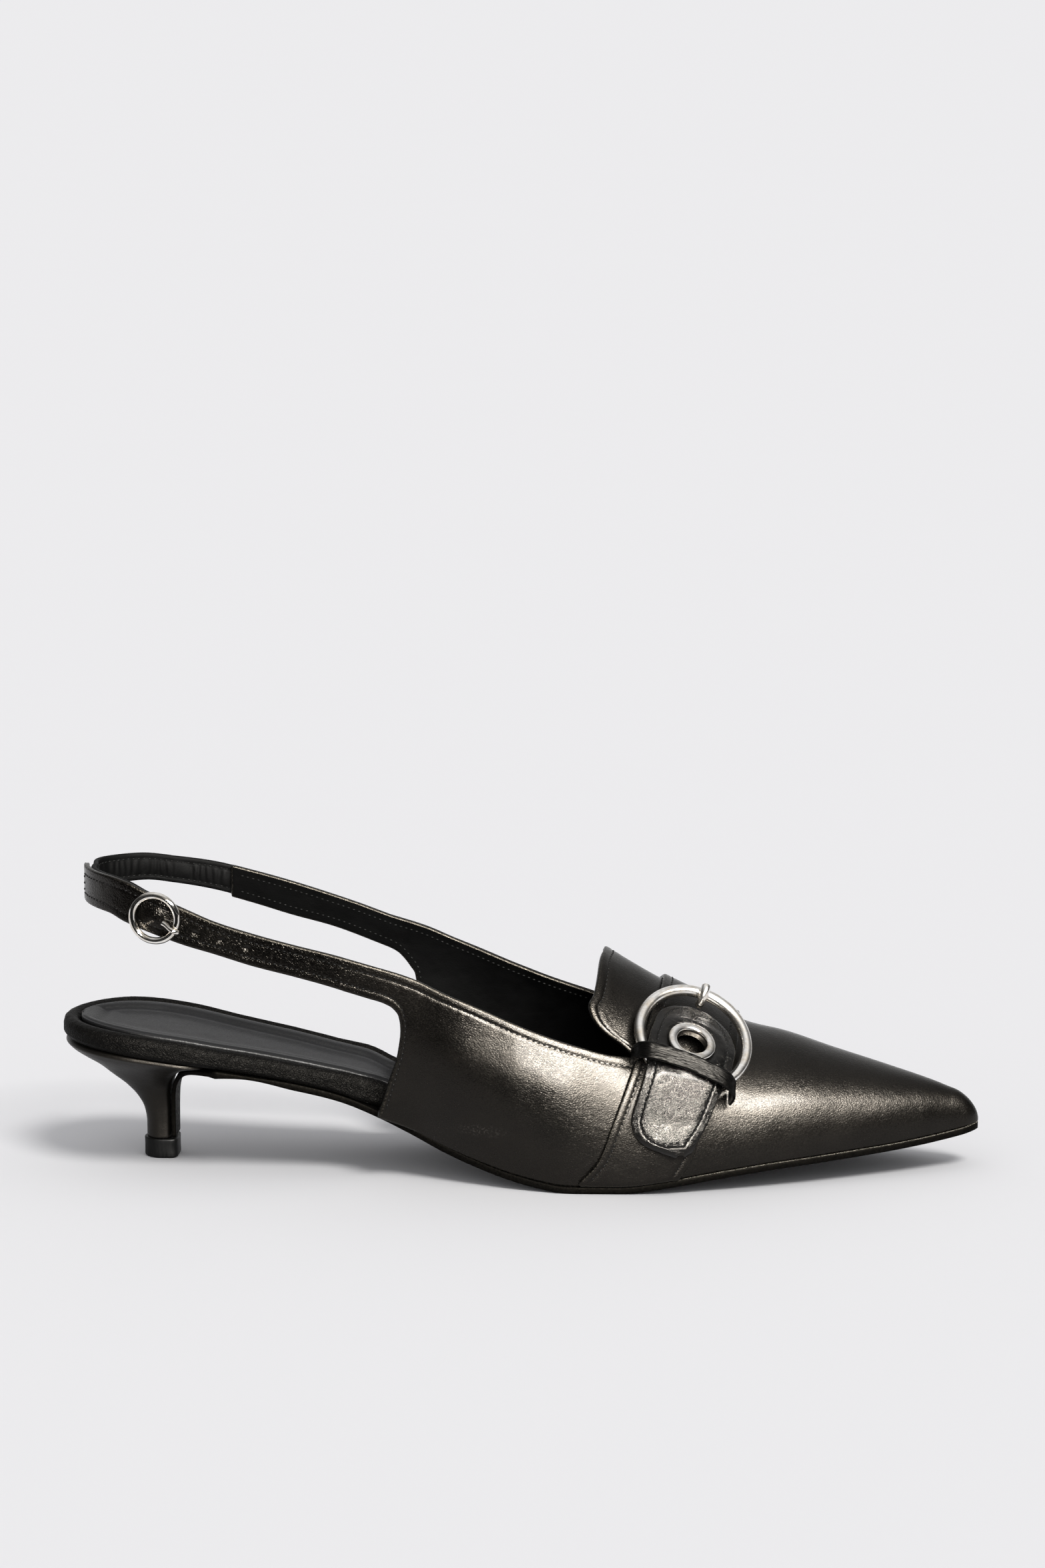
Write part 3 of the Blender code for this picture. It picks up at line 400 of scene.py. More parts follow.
def slopes(x, y):
    """The slope at each row that keeps a curve through the rows free of overshoot."""
    step = np.diff(x)
    rise = np.diff(y) / step
    out = np.empty(len(x))
    out[0], out[-1] = rise[0], rise[-1]
    for i in range(1, len(x) - 1):
        if rise[i - 1] * rise[i] <= 0:
            out[i] = 0.0
            continue
        w1 = 2 * step[i] + step[i - 1]
        w2 = step[i] + 2 * step[i - 1]
        out[i] = (w1 + w2) / (w1 / rise[i - 1] + w2 / rise[i])
    return out


def curve(table, column, unit=1.0):
    """A smooth function of the table's first column, in units of the named size. It takes arrays."""
    rows = np.array(table, float)
    x, y = rows[:, 0], rows[:, column] * unit
    m = slopes(x, y)

    def value(at):
        at = np.clip(at, x[0], x[-1])
        i = np.clip(np.searchsorted(x, at) - 1, 0, len(x) - 2)
        h = x[i + 1] - x[i]
        t = (at - x[i]) / h
        ends = y[i] * (1 + 2 * t) * (1 - t) ** 2 + y[i + 1] * t * t * (3 - 2 * t)
        return ends + h * (m[i] * t * (1 - t) ** 2 - m[i + 1] * t * t * (1 - t))

    return value


AXIS, LATERAL, MEDIAL = (curve(OUTLINE, n, BALL_WIDTH) for n in (1, 2, 3))
FEATHER_Z = curve(FEATHER, 1, SEAT_HEIGHT)
CREST_Z = curve(CREST, 1, INSTEP_HEIGHT)
CROWN = curve(FLANK, 1)
BELLY_LATERAL, BELLY_MEDIAL = (curve(FLANK, n, BALL_WIDTH) for n in (2, 3))
TOPLINE_Z = curve(TOPLINE, 1, STRAP_HEIGHT)
LOOP_WIDTH = curve(LOOP_SPREAD, 1, LOOP_RADIUS)
RIM_LATERAL, RIM_MEDIAL = (curve(RIM, n, SEAT_HEIGHT) for n in (1, 2))
TIP = SHOE_LENGTH - SEAT_BACK
LIFT_TOP = LIFT_HEIGHT + CLEARANCE
LOOP_BEND = LOOP_RADIUS - LOOP_BACK


def share(x):
    return (x + SEAT_BACK) / SHOE_LENGTH


def station(along):
    return along * SHOE_LENGTH - SEAT_BACK


def heel_height(high):
    return LIFT_TOP + high * (SEAT_HEIGHT - LIFT_TOP)


def ease(low, high, x):
    t = np.clip((x - low) / (high - low), 0, 1)
    return t * t * (3 - 2 * t)


def bell(x, middle, width):
    """A soft bump of height 1."""
    return np.exp(-(((x - middle) / width) ** 2))


def unit(vectors):
    length = np.linalg.norm(vectors, axis=-1, keepdims=True)
    return vectors / np.maximum(length, 1e-12)


def full_turn(count):
    """Angles round a full turn."""
    return np.linspace(0, 2 * np.pi, count, endpoint=False)


def signed_power(x, power):
    return np.sign(x) * np.abs(x) ** power


def run_along(points):
    """The length along a row of points, from 0 at the first."""
    return np.concatenate([[0], np.cumsum(np.linalg.norm(np.diff(points, axis=0), axis=1))])


def along_run(at, run, rows):
    """The row at a length along the run."""
    return np.array([np.interp(at, run, rows[:, c]) for c in range(3)])


def rounding(x, end, radius):
    """The factor that closes a width to nothing at end, like a circle of the given radius."""
    t = np.clip(1 - np.abs(end - x) / radius, 0, 1)
    return np.sqrt(1 - t * t)


def half_width(x, side, inset=0.0, back=-SEAT_BACK, front=TIP):
    """The plan outline's distance from its middle line, on a shape drawn in by inset all round."""
    base = np.where(np.asarray(side) < 0, LATERAL(share(x)), MEDIAL(share(x))) - inset
    heel = rounding(np.maximum(x, back + inset), back + inset, SEAT_RADIUS)
    toe = rounding(np.minimum(x, front - inset), front - inset, np.maximum(TOE_RADIUS - inset, MM))
    base = base * np.where(x < back + inset + SEAT_RADIUS, heel, 1.0)
    return base * np.where(x > front - TOE_RADIUS, toe, 1.0)


def feather(x):
    return FEATHER_Z(share(x))


def arch(x, a):
    """Points of the upper's outside. a runs from 0 at the lateral edge over the crest to pi at the medial edge."""
    x, a = np.broadcast_arrays(np.asarray(x, float), np.asarray(a, float))
    side = np.where(a <= np.pi / 2, -1.0, 1.0)
    b = np.where(side < 0, a, np.pi - a)
    at = share(x)
    foot = feather(x) + CLEARANCE
    rise = (CREST_Z(at) - foot) * np.where(x > TIP - TOE_DROP, rounding(x, TIP, TOE_DROP), 1.0)
    half = half_width(x, side, WELT, front=TIP + WELT)
    belly = np.where(side < 0, BELLY_LATERAL(at), BELLY_MEDIAL(at))
    out = half * np.maximum(np.cos(b), 0.0) ** CROWN(at) + belly * np.sin(2 * b)
    return np.stack([x, AXIS(at) + side * out, foot + rise * np.sin(b)], -1)


def wall_angle(x, z):
    """The arch angle, from its nearer edge, at which the side reaches height z."""
    foot = feather(x) + CLEARANCE
    return np.arcsin(np.clip((z - foot) / (CREST_Z(share(x)) - foot), 0, 1))


def loop_width(x):
    """The strap loop's distance from the middle line."""
    wide = LOOP_WIDTH(share(x))
    behind = wide * rounding(np.maximum(x, -LOOP_BACK), -LOOP_BACK, LOOP_RADIUS)
    return np.where(x < LOOP_BEND, behind, wide)


def side_point(x, z, side):
    """Points of the upper's outside at station x and height z, on the strap loop or on the quarter."""
    x, z = np.broadcast_arrays(np.asarray(x, float), np.asarray(z, float))
    b = wall_angle(x, z)
    quarter = arch(x, b if side < 0 else np.pi - b)[..., 1]
    loop = side * loop_width(x)
    return np.stack([x, loop + (quarter - loop) * ease(*LOOP_TO_QUARTER, share(x)), z], -1)


def normal(x, a):
    along = arch(x + 0.05 * MM, a) - arch(x - 0.05 * MM, a)
    across = arch(x, a + 2e-3) - arch(x, a - 2e-3)
    return unit(np.cross(along, across))


def raised(x, a, height):
    return arch(x, a) + normal(x, a) * np.asarray(height)[..., None]


def mirrored(degrees):
    return np.where(degrees <= 90, degrees, 180 - degrees)


def by_ring(offset):
    """The station at so many ring radii in front of the ring's middle."""
    return station(RING_AT[0]) + offset * RING_RADIUS


def loop_station(turn):
    return -LOOP_BACK + LOOP_RADIUS * (1 - np.cos(turn))


def rim(x, side):
    return np.where(np.asarray(side) < 0, RIM_LATERAL(share(x)), RIM_MEDIAL(share(x)))


def tuck(x):
    return INSOLE_TUCK * ease(*INSOLE_NARROWS, share(x)) - SEAT_OVERHANG


def ring_frame():
    """The large ring's middle, its two directions in its own plane and its face direction."""
    at, degrees = RING_AT
    x, a = station(at), np.radians(degrees)
    face = normal(x, a)
    level = unit(np.cross([0.0, 0.0, 1.0], face))
    return raised(x, a, RING_LIFT), level, np.cross(face, level), face


def strap_base(at, degrees):
    """Points of the buckle strap's underside and its outward directions."""
    at, degrees = np.broadcast_arrays(np.asarray(at, float), np.asarray(degrees, float))
    tilt, drape = (curve(BUCKLE_STRAP, n, STRAP_THICK)(degrees) for n in (3, 4))
    x, a = by_ring(at), np.radians(degrees)
    middle, _, _, face = ring_frame()
    on_upper = arch(x, a)
    flat = on_upper + face * ((middle - on_upper) @ face + tilt)[..., None]
    draped = raised(x, a, drape)
    t = ease(*STRAP_LIFTS, degrees)[..., None]
    return draped + (flat - draped) * t, unit(normal(x, a) * (1 - t) + face * t)


def eyelet_frame():
    """The eyelet's middle on the strap's top, and its directions."""
    at, degrees = EYELET_AT
    middle, face = strap_base(at, degrees)
    above, _ = strap_base(at, degrees + 7)
    below, _ = strap_base(at, degrees - 7)
    v = unit(above - below)
    u = unit(np.cross(v, face))
    out = np.cross(u, v)
    return (above + below + 2 * middle) / 4 + out * STRAP_THICK, u, v, out


def small_ring_frame():
    """The small buckle's middle beside the near strap, and its directions."""
    x, step = station(SMALL_RING_AT[0]), LOOP_RADIUS / 8
    slope = (loop_width(x + step) - loop_width(x - step)) / (2 * step)
    along = unit(np.array([1.0, -float(slope), 0.0]))
    up = np.array([-0.3, 0.0, 1.0])
    up = unit(up - along * (up @ along))
    face = np.cross(along, up)
    middle = side_point(x, SMALL_RING_AT[1] * STRAP_HEIGHT, -1) + face * (SMALL_RING_WIRE + 2 * CLEARANCE)
    return middle, along, up, face


def grid_normals(grid, cells):
    """Outward directions at a grid's points, from the cells that are set."""
    index = np.arange(grid.shape[0] * grid.shape[1]).reshape(grid.shape[:2])
    quads = np.stack([index[:-1, :-1], index[1:, :-1], index[1:, 1:], index[:-1, 1:]], -1)[cells]
    flat = grid.reshape(-1, 3)
    face = np.cross(flat[quads[:, 2]] - flat[quads[:, 0]], flat[quads[:, 3]] - flat[quads[:, 1]])
    total = np.zeros_like(flat)
    for k in range(4):
        np.add.at(total, quads[:, k], face)
    return unit(total), quads


def add_object(name, data):
    made = bpy.data.objects.new(name, data)
    bpy.context.scene.collection.objects.link(made)
    return made


def every_cell(grid):
    return np.ones((grid.shape[0] - 1, grid.shape[1] - 1), bool)


def finish_mesh(name, points, faces, looks, which=None, place=None):
    """Makes the object, drops unused points, joins those that coincide and smooths it."""
    mesh = bpy.data.meshes.new(name)
    mesh.from_pydata([tuple(p) for p in points], [], [tuple(f) for f in faces])
    if place is not None:
        made = mesh.attributes.new("place", "FLOAT_VECTOR", "POINT")
        made.data.foreach_set("vector", np.asarray(place, np.float32).ravel())
    if which is not None:
        mesh.polygons.foreach_set("material_index", np.asarray(which, np.int32))
    bm = bmesh.new()
    bm.from_mesh(mesh)
    bmesh.ops.delete(bm, geom=[v for v in bm.verts if not v.link_faces], context="VERTS")
    bmesh.ops.remove_doubles(bm, verts=bm.verts, dist=JOIN_WITHIN)
    bmesh.ops.recalc_face_normals(bm, faces=bm.faces)
    bm.to_mesh(mesh)
    bm.free()
    mesh.shade_smooth()
    for look in looks:
        mesh.materials.append(look)
    return add_object(name, mesh)


def shell(name, grid, cells, thick, looks, relief, place, bulge=0.75, notch=0.0, turns=6):
    """A wall under a grid of outside points with a rounded edge.

    looks are for the outside, the inside and the edge. relief raises the outside. notch is the depth of the line
    between the two leathers on the edge, as a share.
    """
    normals, quads = grid_normals(grid, cells)
    flat = grid.reshape(-1, 3)
    count = len(flat)
    lift = relief.reshape(-1)
    top = flat + normals * lift[:, None]
    under = flat - normals * thick
    edges = {}
    for a, b in ((0, 1), (1, 2), (2, 3), (3, 0)):
        edges.update(((int(p), int(q)), True) for p, q in zip(quads[:, a], quads[:, b]))
    border = [(a, b) for a, b in edges if (b, a) not in edges]
    out = np.zeros_like(flat)
    for a, b in border:
        across = np.cross(flat[b] - flat[a], normals[a] + normals[b])
        out[a] += across
        out[b] += across
    out = unit(out)
    rim_points = sorted({a for edge in border for a in edge})
    slot = {p: k for k, p in enumerate(rim_points)}
    half = (thick + lift[rim_points]) / 2
    middle = (top[rim_points] + under[rim_points]) / 2
    rows = []
    for k in range(1, turns):
        turn = np.pi * k / turns
        wide = half * bulge * (1 - notch * np.exp(-(((turn - 1.7) / 0.35) ** 2)))
        rows.append(middle + normals[rim_points] * (half * np.cos(turn))[:, None]
                    + out[rim_points] * (wide * np.sin(turn))[:, None])
    points = np.vstack([top, under, *rows])
    faces = [tuple(q) for q in quads] + [tuple(count + c for c in q[::-1]) for q in quads]
    which = [0] * len(quads) + [1] * len(quads)

    def at(point, level):
        if level == 0:
            return point
        return count + point if level == turns else 2 * count + (level - 1) * len(rim_points) + slot[point]

    for a, b in border:
        for level in range(turns):
            faces.append((at(b, level), at(a, level), at(a, level + 1), at(b, level + 1)))
            which.append(2)
    flat_place = place.reshape(-1, 3)
    spots = np.vstack([flat_place, flat_place] + [flat_place[rim_points]] * (turns - 1))
    obj = finish_mesh(name, points, faces, looks, which, spots)
    return obj, top.reshape(grid.shape), normals.reshape(grid.shape)


def loft(name, rings, looks, closed=False, place=None):
    """A solid through rings of equal count. Its end rings are closed by strips between opposite points."""
    rings = np.asarray(rings)
    spans, count = rings.shape[:2]
    index = np.arange(spans * count).reshape(spans, count)
    if closed:
        index = np.vstack([index, index[:1]])
    a, b = index[:-1], index[1:]
    faces = np.stack([a, np.roll(a, -1, 1), np.roll(b, -1, 1), b], -1).reshape(-1, 4)
    faces = [tuple(dict.fromkeys(f)) for f in faces.tolist()]
    if not closed:
        for base in (0, (spans - 1) * count):
            for i in range(count // 2):
                near, far = (count - i) % count, (count - i - 1) % count
                corners = tuple(dict.fromkeys((base + i, base + i + 1, base + far, base + near)))
                if len(corners) > 2:
                    faces.append(corners)
    spots = None if place is None else np.asarray(place).reshape(-1, 3)
    return finish_mesh(name, rings.reshape(-1, 3), faces, looks, place=spots)


def frames_along(path, start):
    """Unit tangents and two crossing directions carried along a path without twist."""
    path = np.asarray(path, float)
    tangents = unit(np.gradient(path, axis=0))
    u = np.asarray(start, float)
    sides = []
    for along in tangents:
        u = unit(u - along * (u @ along))
        sides.append(u)
    sides = np.array(sides)
    return tangents, sides, np.cross(tangents, sides)


def rod(name, path, radius, looks, across=20, start=(0.3, 0.9, 0.1)):
    """A round bar along a path of points, its far end domed."""
    steps = np.linspace(0, len(path) - 1, 60)
    fine = np.stack([smooth_row(np.array(path)[:, k])(steps) for k in range(3)], -1)
    tangents, u, v = frames_along(fine, start)
    turns = full_turn(across)
    circle = np.stack([np.cos(turns), np.sin(turns)], -1)
    rings = []
    for point, side, other in zip(fine, u, v):
        rings.append(point + (circle[:, :1] * side + circle[:, 1:] * other) * radius)
    for dome in np.radians([15, 30, 50, 70, 90]):
        ring = fine[-1] + tangents[-1] * radius * np.sin(dome) * 0.6
        rings.append(ring + (circle[:, :1] * u[-1] + circle[:, 1:] * v[-1]) * radius * max(np.cos(dome), 0.02))
    return loft(name, rings, looks)


def smooth_row(values):
    """A smooth function through values at 0, 1, 2 and so on."""
    return curve([(k, value) for k, value in enumerate(values)], 1)


def torus(name, middle, u, v, radius, wire, looks, around=192, across=28):
    w = np.cross(u, v)
    s = full_turn(around)[:, None, None]
    t = full_turn(across)[None, :, None]
    out = u * np.cos(s) + v * np.sin(s)
    rings = middle + out * (radius + wire * np.cos(t)) + w * (wire * np.sin(t))
    place = np.stack([np.broadcast_to(s[..., 0] * radius, rings.shape[:2]) / MM,
                      np.broadcast_to(t[..., 0] * wire, rings.shape[:2]) / MM,
                      np.zeros(rings.shape[:2])], -1)
    return loft(name, rings, looks, closed=True, place=place)


def lathe(name, middle, u, v, profile, looks, around=128):
    """A ring of revolution about u x v through middle. The profile is (radius, height) pairs."""
    w = np.cross(u, v)
    s = full_turn(around)[:, None, None]
    out = u * np.cos(s) + v * np.sin(s)
    shape = np.array(profile)
    rings = middle + out * shape[None, :, :1] + w * shape[None, :, 1:]
    return loft(name, rings, looks, closed=True)


def stitches(name, lines, look, pitch=STITCH_PITCH, length=STITCH_LENGTH, thread=THREAD, slant=0.10, sides=6):
    """Rows of single stitches sunk into the leather. Each line is (points, outward directions)."""
    turns = full_turn(sides)
    profile = ((-0.5, 0.15), (-0.34, 0.75), (0.0, 1.0), (0.34, 0.75), (0.5, 0.15))
    points, faces = [], []
    for path, ups in lines:
        path, ups = np.asarray(path, float), np.asarray(ups, float)
        run = run_along(path)
        count = int(run[-1] // pitch)
        for k in range(count):
            at = (k + 0.5) * run[-1] / count
            first, last = (along_run(at + s * length, run, path) for s in (-0.4, 0.4))
            up = unit(along_run(at, run, ups))
            along = unit(last - first)
            side = unit(np.cross(up, along))
            along = unit(along + side * slant)
            side = np.cross(up, along)
            middle = (first + last) / 2
            base = len(points)
            for step, fat in profile:
                sink = thread * (0.1 - 1.1 * (2 * step) ** 2)
                centre = middle + along * step * length + up * sink
                for t in turns:
                    points.append(centre + (side * np.cos(t) + up * np.sin(t)) * thread * fat)
            end = base + (len(profile) - 1) * sides
            for a in range(base, end, sides):
                for i in range(sides):
                    j = (i + 1) % sides
                    faces.append((a + i, a + j, a + sides + j, a + sides + i))
            faces.append(tuple(range(base, base + sides)))
            faces.append(tuple(range(end + sides - 1, end - 1, -1)))
    return finish_mesh(name, points, faces, [look])


def put(piece, node):
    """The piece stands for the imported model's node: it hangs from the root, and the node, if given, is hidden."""
    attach(piece, "root")
    if node:
        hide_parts(node)
    return piece


class Finish:
    """A node material for one surface, with its coordinates in millimetres."""

    def __init__(self, name, colour, rough, **sockets):
        self.material = bpy.data.materials.new(name)
        self.material.use_nodes = True
        self.tree = self.material.node_tree
        self.shader = self.tree.nodes["Principled BSDF"]
        self.shader.inputs["Base Color"].default_value = (*colour, 1.0)
        self.shader.inputs["Roughness"].default_value = rough
        for key, value in sockets.items():
            socket = self.shader.inputs[key.replace("_", " ").title().replace("Ior", "IOR")]
            socket.default_value = (*value, 1.0) if isinstance(value, tuple) else value

    def node(self, kind, inputs=None, **settings):
        made = self.tree.nodes.new(kind)
        for key, value in settings.items():
            setattr(made, key, value)
        for key, value in (inputs or {}).items():
            if isinstance(value, bpy.types.NodeSocket):
                self.tree.links.new(value, made.inputs[key])
            else:
                made.inputs[key].default_value = value
        return made

    def object_mm(self, stretch=(1.0, 1.0, 1.0)):
        """The piece's own coordinates in millimetres, divided by stretch along each axis."""
        where = self.node("ShaderNodeTexCoord").outputs["Object"]
        scale = tuple(1000.0 / s for s in stretch)
        return self.node("ShaderNodeMapping", {"Vector": where, "Scale": scale}).outputs[0]

    def place_mm(self, stretch=(1.0, 1.0, 1.0)):
        """Along, across and distance from the edge, in millimetres."""
        where = self.node("ShaderNodeAttribute", attribute_name="place").outputs["Vector"]
        scale = tuple(1.0 / s for s in stretch)
        return self.node("ShaderNodeMapping", {"Vector": where, "Scale": scale}).outputs[0]

    def noise(self, where, scale, detail=3.0, rough=0.5, distortion=0.0):
        inputs = {"Vector": where, "Scale": scale, "Detail": detail, "Roughness": rough, "Distortion": distortion}
        return self.node("ShaderNodeTexNoise", inputs).outputs["Fac"]

    def cells(self, where, scale, feature="DISTANCE_TO_EDGE"):
        made = self.node("ShaderNodeTexVoronoi", {"Vector": where, "Scale": scale}, feature=feature)
        return made.outputs["Distance"]

    def axis(self, where, letter):
        return self.node("ShaderNodeSeparateXYZ", {0: where}).outputs[letter]

    def vector(self, operation, inputs):
        return self.node("ShaderNodeVectorMath", inputs, operation=operation).outputs

    def shaken(self, where, scale, amount):
        """The coordinates, bent by a noise of this scale."""
        noise = self.node("ShaderNodeTexNoise", {"Vector": where, "Scale": scale, "Detail": 1.0}).outputs["Color"]
        off = self.vector("SUBTRACT", {0: noise, 1: (0.5, 0.5, 0.5)})[0]
        far = self.vector("SCALE", {0: off, "Scale": amount})[0]
        return self.vector("ADD", {0: where, 1: far})[0]

    def spread(self, value, low, high, to_low=0.0, to_high=1.0, **settings):
        inputs = {"Value": value, "From Min": low, "From Max": high, "To Min": to_low, "To Max": to_high}
        return self.node("ShaderNodeMapRange", inputs, **settings).outputs[0]

    def math(self, operation, first, second=0.0):
        return self.node("ShaderNodeMath", {0: first, 1: second}, operation=operation).outputs[0]

    def mix(self, factor, below, colour):
        """The colour or socket below, covered by another colour where factor is 1."""
        if isinstance(below, tuple):
            below = (*below, 1.0)
        return self.node("ShaderNodeMix", {0: factor, 6: below, 7: (*colour, 1.0)}, data_type="RGBA").outputs[2]

    def apart(self, where, middle, size):
        """Distance from middle (metres), in units of size (millimetres). An axis of None is left out."""
        centre = tuple(0.0 if c is None else c / MM for c in middle)
        scale = tuple(0.0 if c is None else 1.0 / reach for c, reach in zip(middle, size))
        off = self.vector("SUBTRACT", {0: where, 1: centre})[0]
        off = self.vector("MULTIPLY", {0: off, 1: scale})[0]
        return self.vector("LENGTH", {0: off})["Value"]

    def lateral(self):
        """1 on the side toward the camera."""
        return self.spread(self.axis(self.object_mm(), "Y"), -8.0, -12.0)

    def bump(self, height, depth, under=None):
        """Raises the surface by depth millimetres where height is 1."""
        inputs = {"Height": height, "Strength": 1.0, "Distance": depth * MM}
        if under is not None:
            inputs["Normal"] = under
        return self.node("ShaderNodeBump", inputs).outputs[0]

    def set(self, socket, value):
        self.tree.links.new(value, self.shader.inputs[socket])

    def dressed(self, normal, rough, tone):
        """The material, with all three on its shader."""
        self.set("Normal", normal)
        self.set("Roughness", rough)
        self.set("Base Color", tone)
        return self.material


def nappa(name, rough, gloss=0.06, deep=1.0, marks=False):
    """Black nappa with a fine pebbled grain, softly uneven in gloss. marks adds the upper's signs of use, and paints
    the near strap's holes black as painted shade.
    """
    f = Finish(name, (0.006, 0.0055, 0.005), rough, specular_tint=(1.0, 0.91, 0.8), specular_ior_level=0.22,
               coat_weight=gloss, coat_roughness=0.18, coat_ior=1.5)
    where = f.object_mm((1.0, 1.0, 0.85))
    bent = f.shaken(where, 0.9, 0.8)
    net = f.spread(f.cells(bent, 1.6), 0.0, 0.30)
    fine = f.noise(where, 2.1, 1.0, 0.5)
    soft = f.noise(where, 0.16, 2.0, 0.5)
    wave = f.bump(soft, 0.14)
    if marks:
        # The near strap has been handled more: its grain is cracked and creased.
        along = f.axis(f.object_mm(), "X")
        cracks = f.spread(f.cells(f.shaken(f.object_mm((0.7, 1.0, 1.1)), 0.5, 1.2), 1.25), 0.0, 0.25)
        on_strap = f.spread(along, 74.0, 52.0)
        wave = f.bump(f.math("MULTIPLY", cracks, on_strap), 0.035, wave)
    hills = f.bump(net, 0.019 * deep, wave)
    worn = f.noise(where, 0.05, 3.0, 0.6)
    pores = f.spread(fine, 0.3, 0.75, -0.03, 0.05)
    uneven = f.math("ADD", f.spread(worn, 0.3, 0.7, rough - 0.03, rough + 0.04), pores)
    if marks:
        uneven = f.math("ADD", uneven, f.math("MULTIPLY", on_strap, -0.07))
    tone = f.mix(f.spread(worn, 0.35, 0.7), (0.0012, 0.0011, 0.0010), (0.0034, 0.0028, 0.0022))
    if marks:
        far = f.apart(f.object_mm(), (SCUFF_AT[0], None, SCUFF_AT[1]), (9.0, 1.0, 2.2))
        rub = f.math("MULTIPLY", f.spread(far, 1.0, 0.3), f.spread(f.noise(where, 1.6, 4.0, 0.7), 0.52, 0.62))
        tone = f.mix(rub, tone, (0.04, 0.036, 0.032))
        # Painted shade: the near strap's holes are only shallow dips, so the shade inside them is painted black.
        for at in STRAP_HOLES:
            inside = f.spread(f.apart(f.object_mm(), (at[0], None, at[1]), (1.0, 1.0, 1.0)), 0.85, 0.65)
            tone = f.mix(f.math("MULTIPLY", inside, f.lateral()), tone, (0.0, 0.0, 0.0))
    return f.dressed(f.bump(fine, 0.022 * deep, hills), uneven, tone)


def glazed(name, crackle, stretch, deep, rough=0.2, lean=0.0, shine=0.26, coat=0.08):
    """The thicker, shinier leather with a fine crackle. lean, in degrees, tips the buckle strap's lower part."""
    f = Finish(name, (0.005, 0.005, 0.005), rough, specular_tint=(1.0, 0.95, 0.88), specular_ior_level=shine,
               coat_weight=coat, coat_roughness=0.12, coat_ior=1.5)
    where = f.object_mm(stretch)
    bent = f.shaken(where, 0.5, 1.2)
    cracks = f.spread(f.cells(bent, crackle), 0.0, 0.2)
    small = f.spread(f.cells(bent, crackle * 1.9), 0.0, 0.26)
    fine = f.noise(where, 2.2, 1.0, 0.5)
    soft = f.noise(where, 0.22, 2.0, 0.5)
    wave = f.bump(soft, 0.3 * deep)
    if lean:
        start, end = STRAP_LEAN_FROM / MM, STRAP_LEAN_TO / MM
        risen = f.spread(f.axis(f.place_mm(), "X"), start, end, interpolation_type="SMOOTHSTEP")
        # A smooth step is 1.5 times as steep in its middle as on the whole.
        wave = f.bump(risen, np.tan(np.radians(lean)) * (STRAP_LEAN_TO - STRAP_LEAN_FROM) / MM / 1.5, wave)
    for relief in (cracks, small, fine):
        wave = f.bump(relief, 0.03 * deep, wave)
    uneven = f.spread(f.noise(where, 0.4, 3.0), 0.3, 0.7, rough - 0.05, rough + 0.08)
    return f.dressed(wave, uneven, f.mix(cracks, (0.0018, 0.0018, 0.0018), (0.005, 0.0047, 0.0044)))


def creased(name):
    """The keeper's leather, with fine creases along it."""
    f = Finish(name, (0.003, 0.003, 0.003), 0.3, specular_tint=(1.0, 0.95, 0.88), specular_ior_level=0.09)
    creases = f.noise(f.shaken(f.place_mm((1.6, 0.42, 1.0)), 0.6, 0.7), 1.0, 2.0, 0.55)
    broad = f.noise(f.place_mm((5.0, 1.6, 1.0)), 1.0, 1.0)
    tone = f.mix(f.spread(creases, 0.35, 0.7), (0.0015, 0.0015, 0.0015), (0.004, 0.0037, 0.0034))
    return f.dressed(f.bump(creases, 0.16, f.bump(broad, 0.1)), f.spread(creases, 0.3, 0.7, 0.26, 0.38), tone)


def smooth_lining(name, shine):
    """The black lining inside the shoe: flat, dry and faintly grained."""
    f = Finish(name, (0.003, 0.003, 0.003), 0.65, specular_ior_level=shine)
    where = f.object_mm()
    fine = f.noise(where, 2.2, 4.0, 0.6)
    soft = f.noise(where, 0.13, 2.0)
    tone = f.mix(f.spread(soft, 0.3, 0.7), (0.0010, 0.0010, 0.0010), (0.0022, 0.0022, 0.0022))
    return f.dressed(f.bump(fine, 0.04, f.bump(soft, 0.4)), f.spread(soft, 0.3, 0.7, 0.52, 0.68), tone)


def sock_cloth(name):
    """The sock's dark grey satin-finished leather."""
    f = Finish(name, (0.01, 0.01, 0.011), 0.45, specular_ior_level=0.24, sheen_weight=0.04, sheen_roughness=0.4)
    where = f.object_mm()
    weave = f.noise(where, 2.4, 2.0, 0.6)
    pores = f.cells(where, 1.7, "F1")
    soft = f.noise(where, 0.08, 2.0)
    normal = f.bump(weave, 0.04, f.bump(pores, 0.035, f.bump(soft, 0.5)))
    tone = f.mix(f.spread(soft, 0.3, 0.7), (0.0042, 0.0042, 0.0052), (0.0075, 0.0075, 0.0088))
    return f.dressed(normal, f.spread(weave, 0.3, 0.7, 0.40, 0.55), tone)


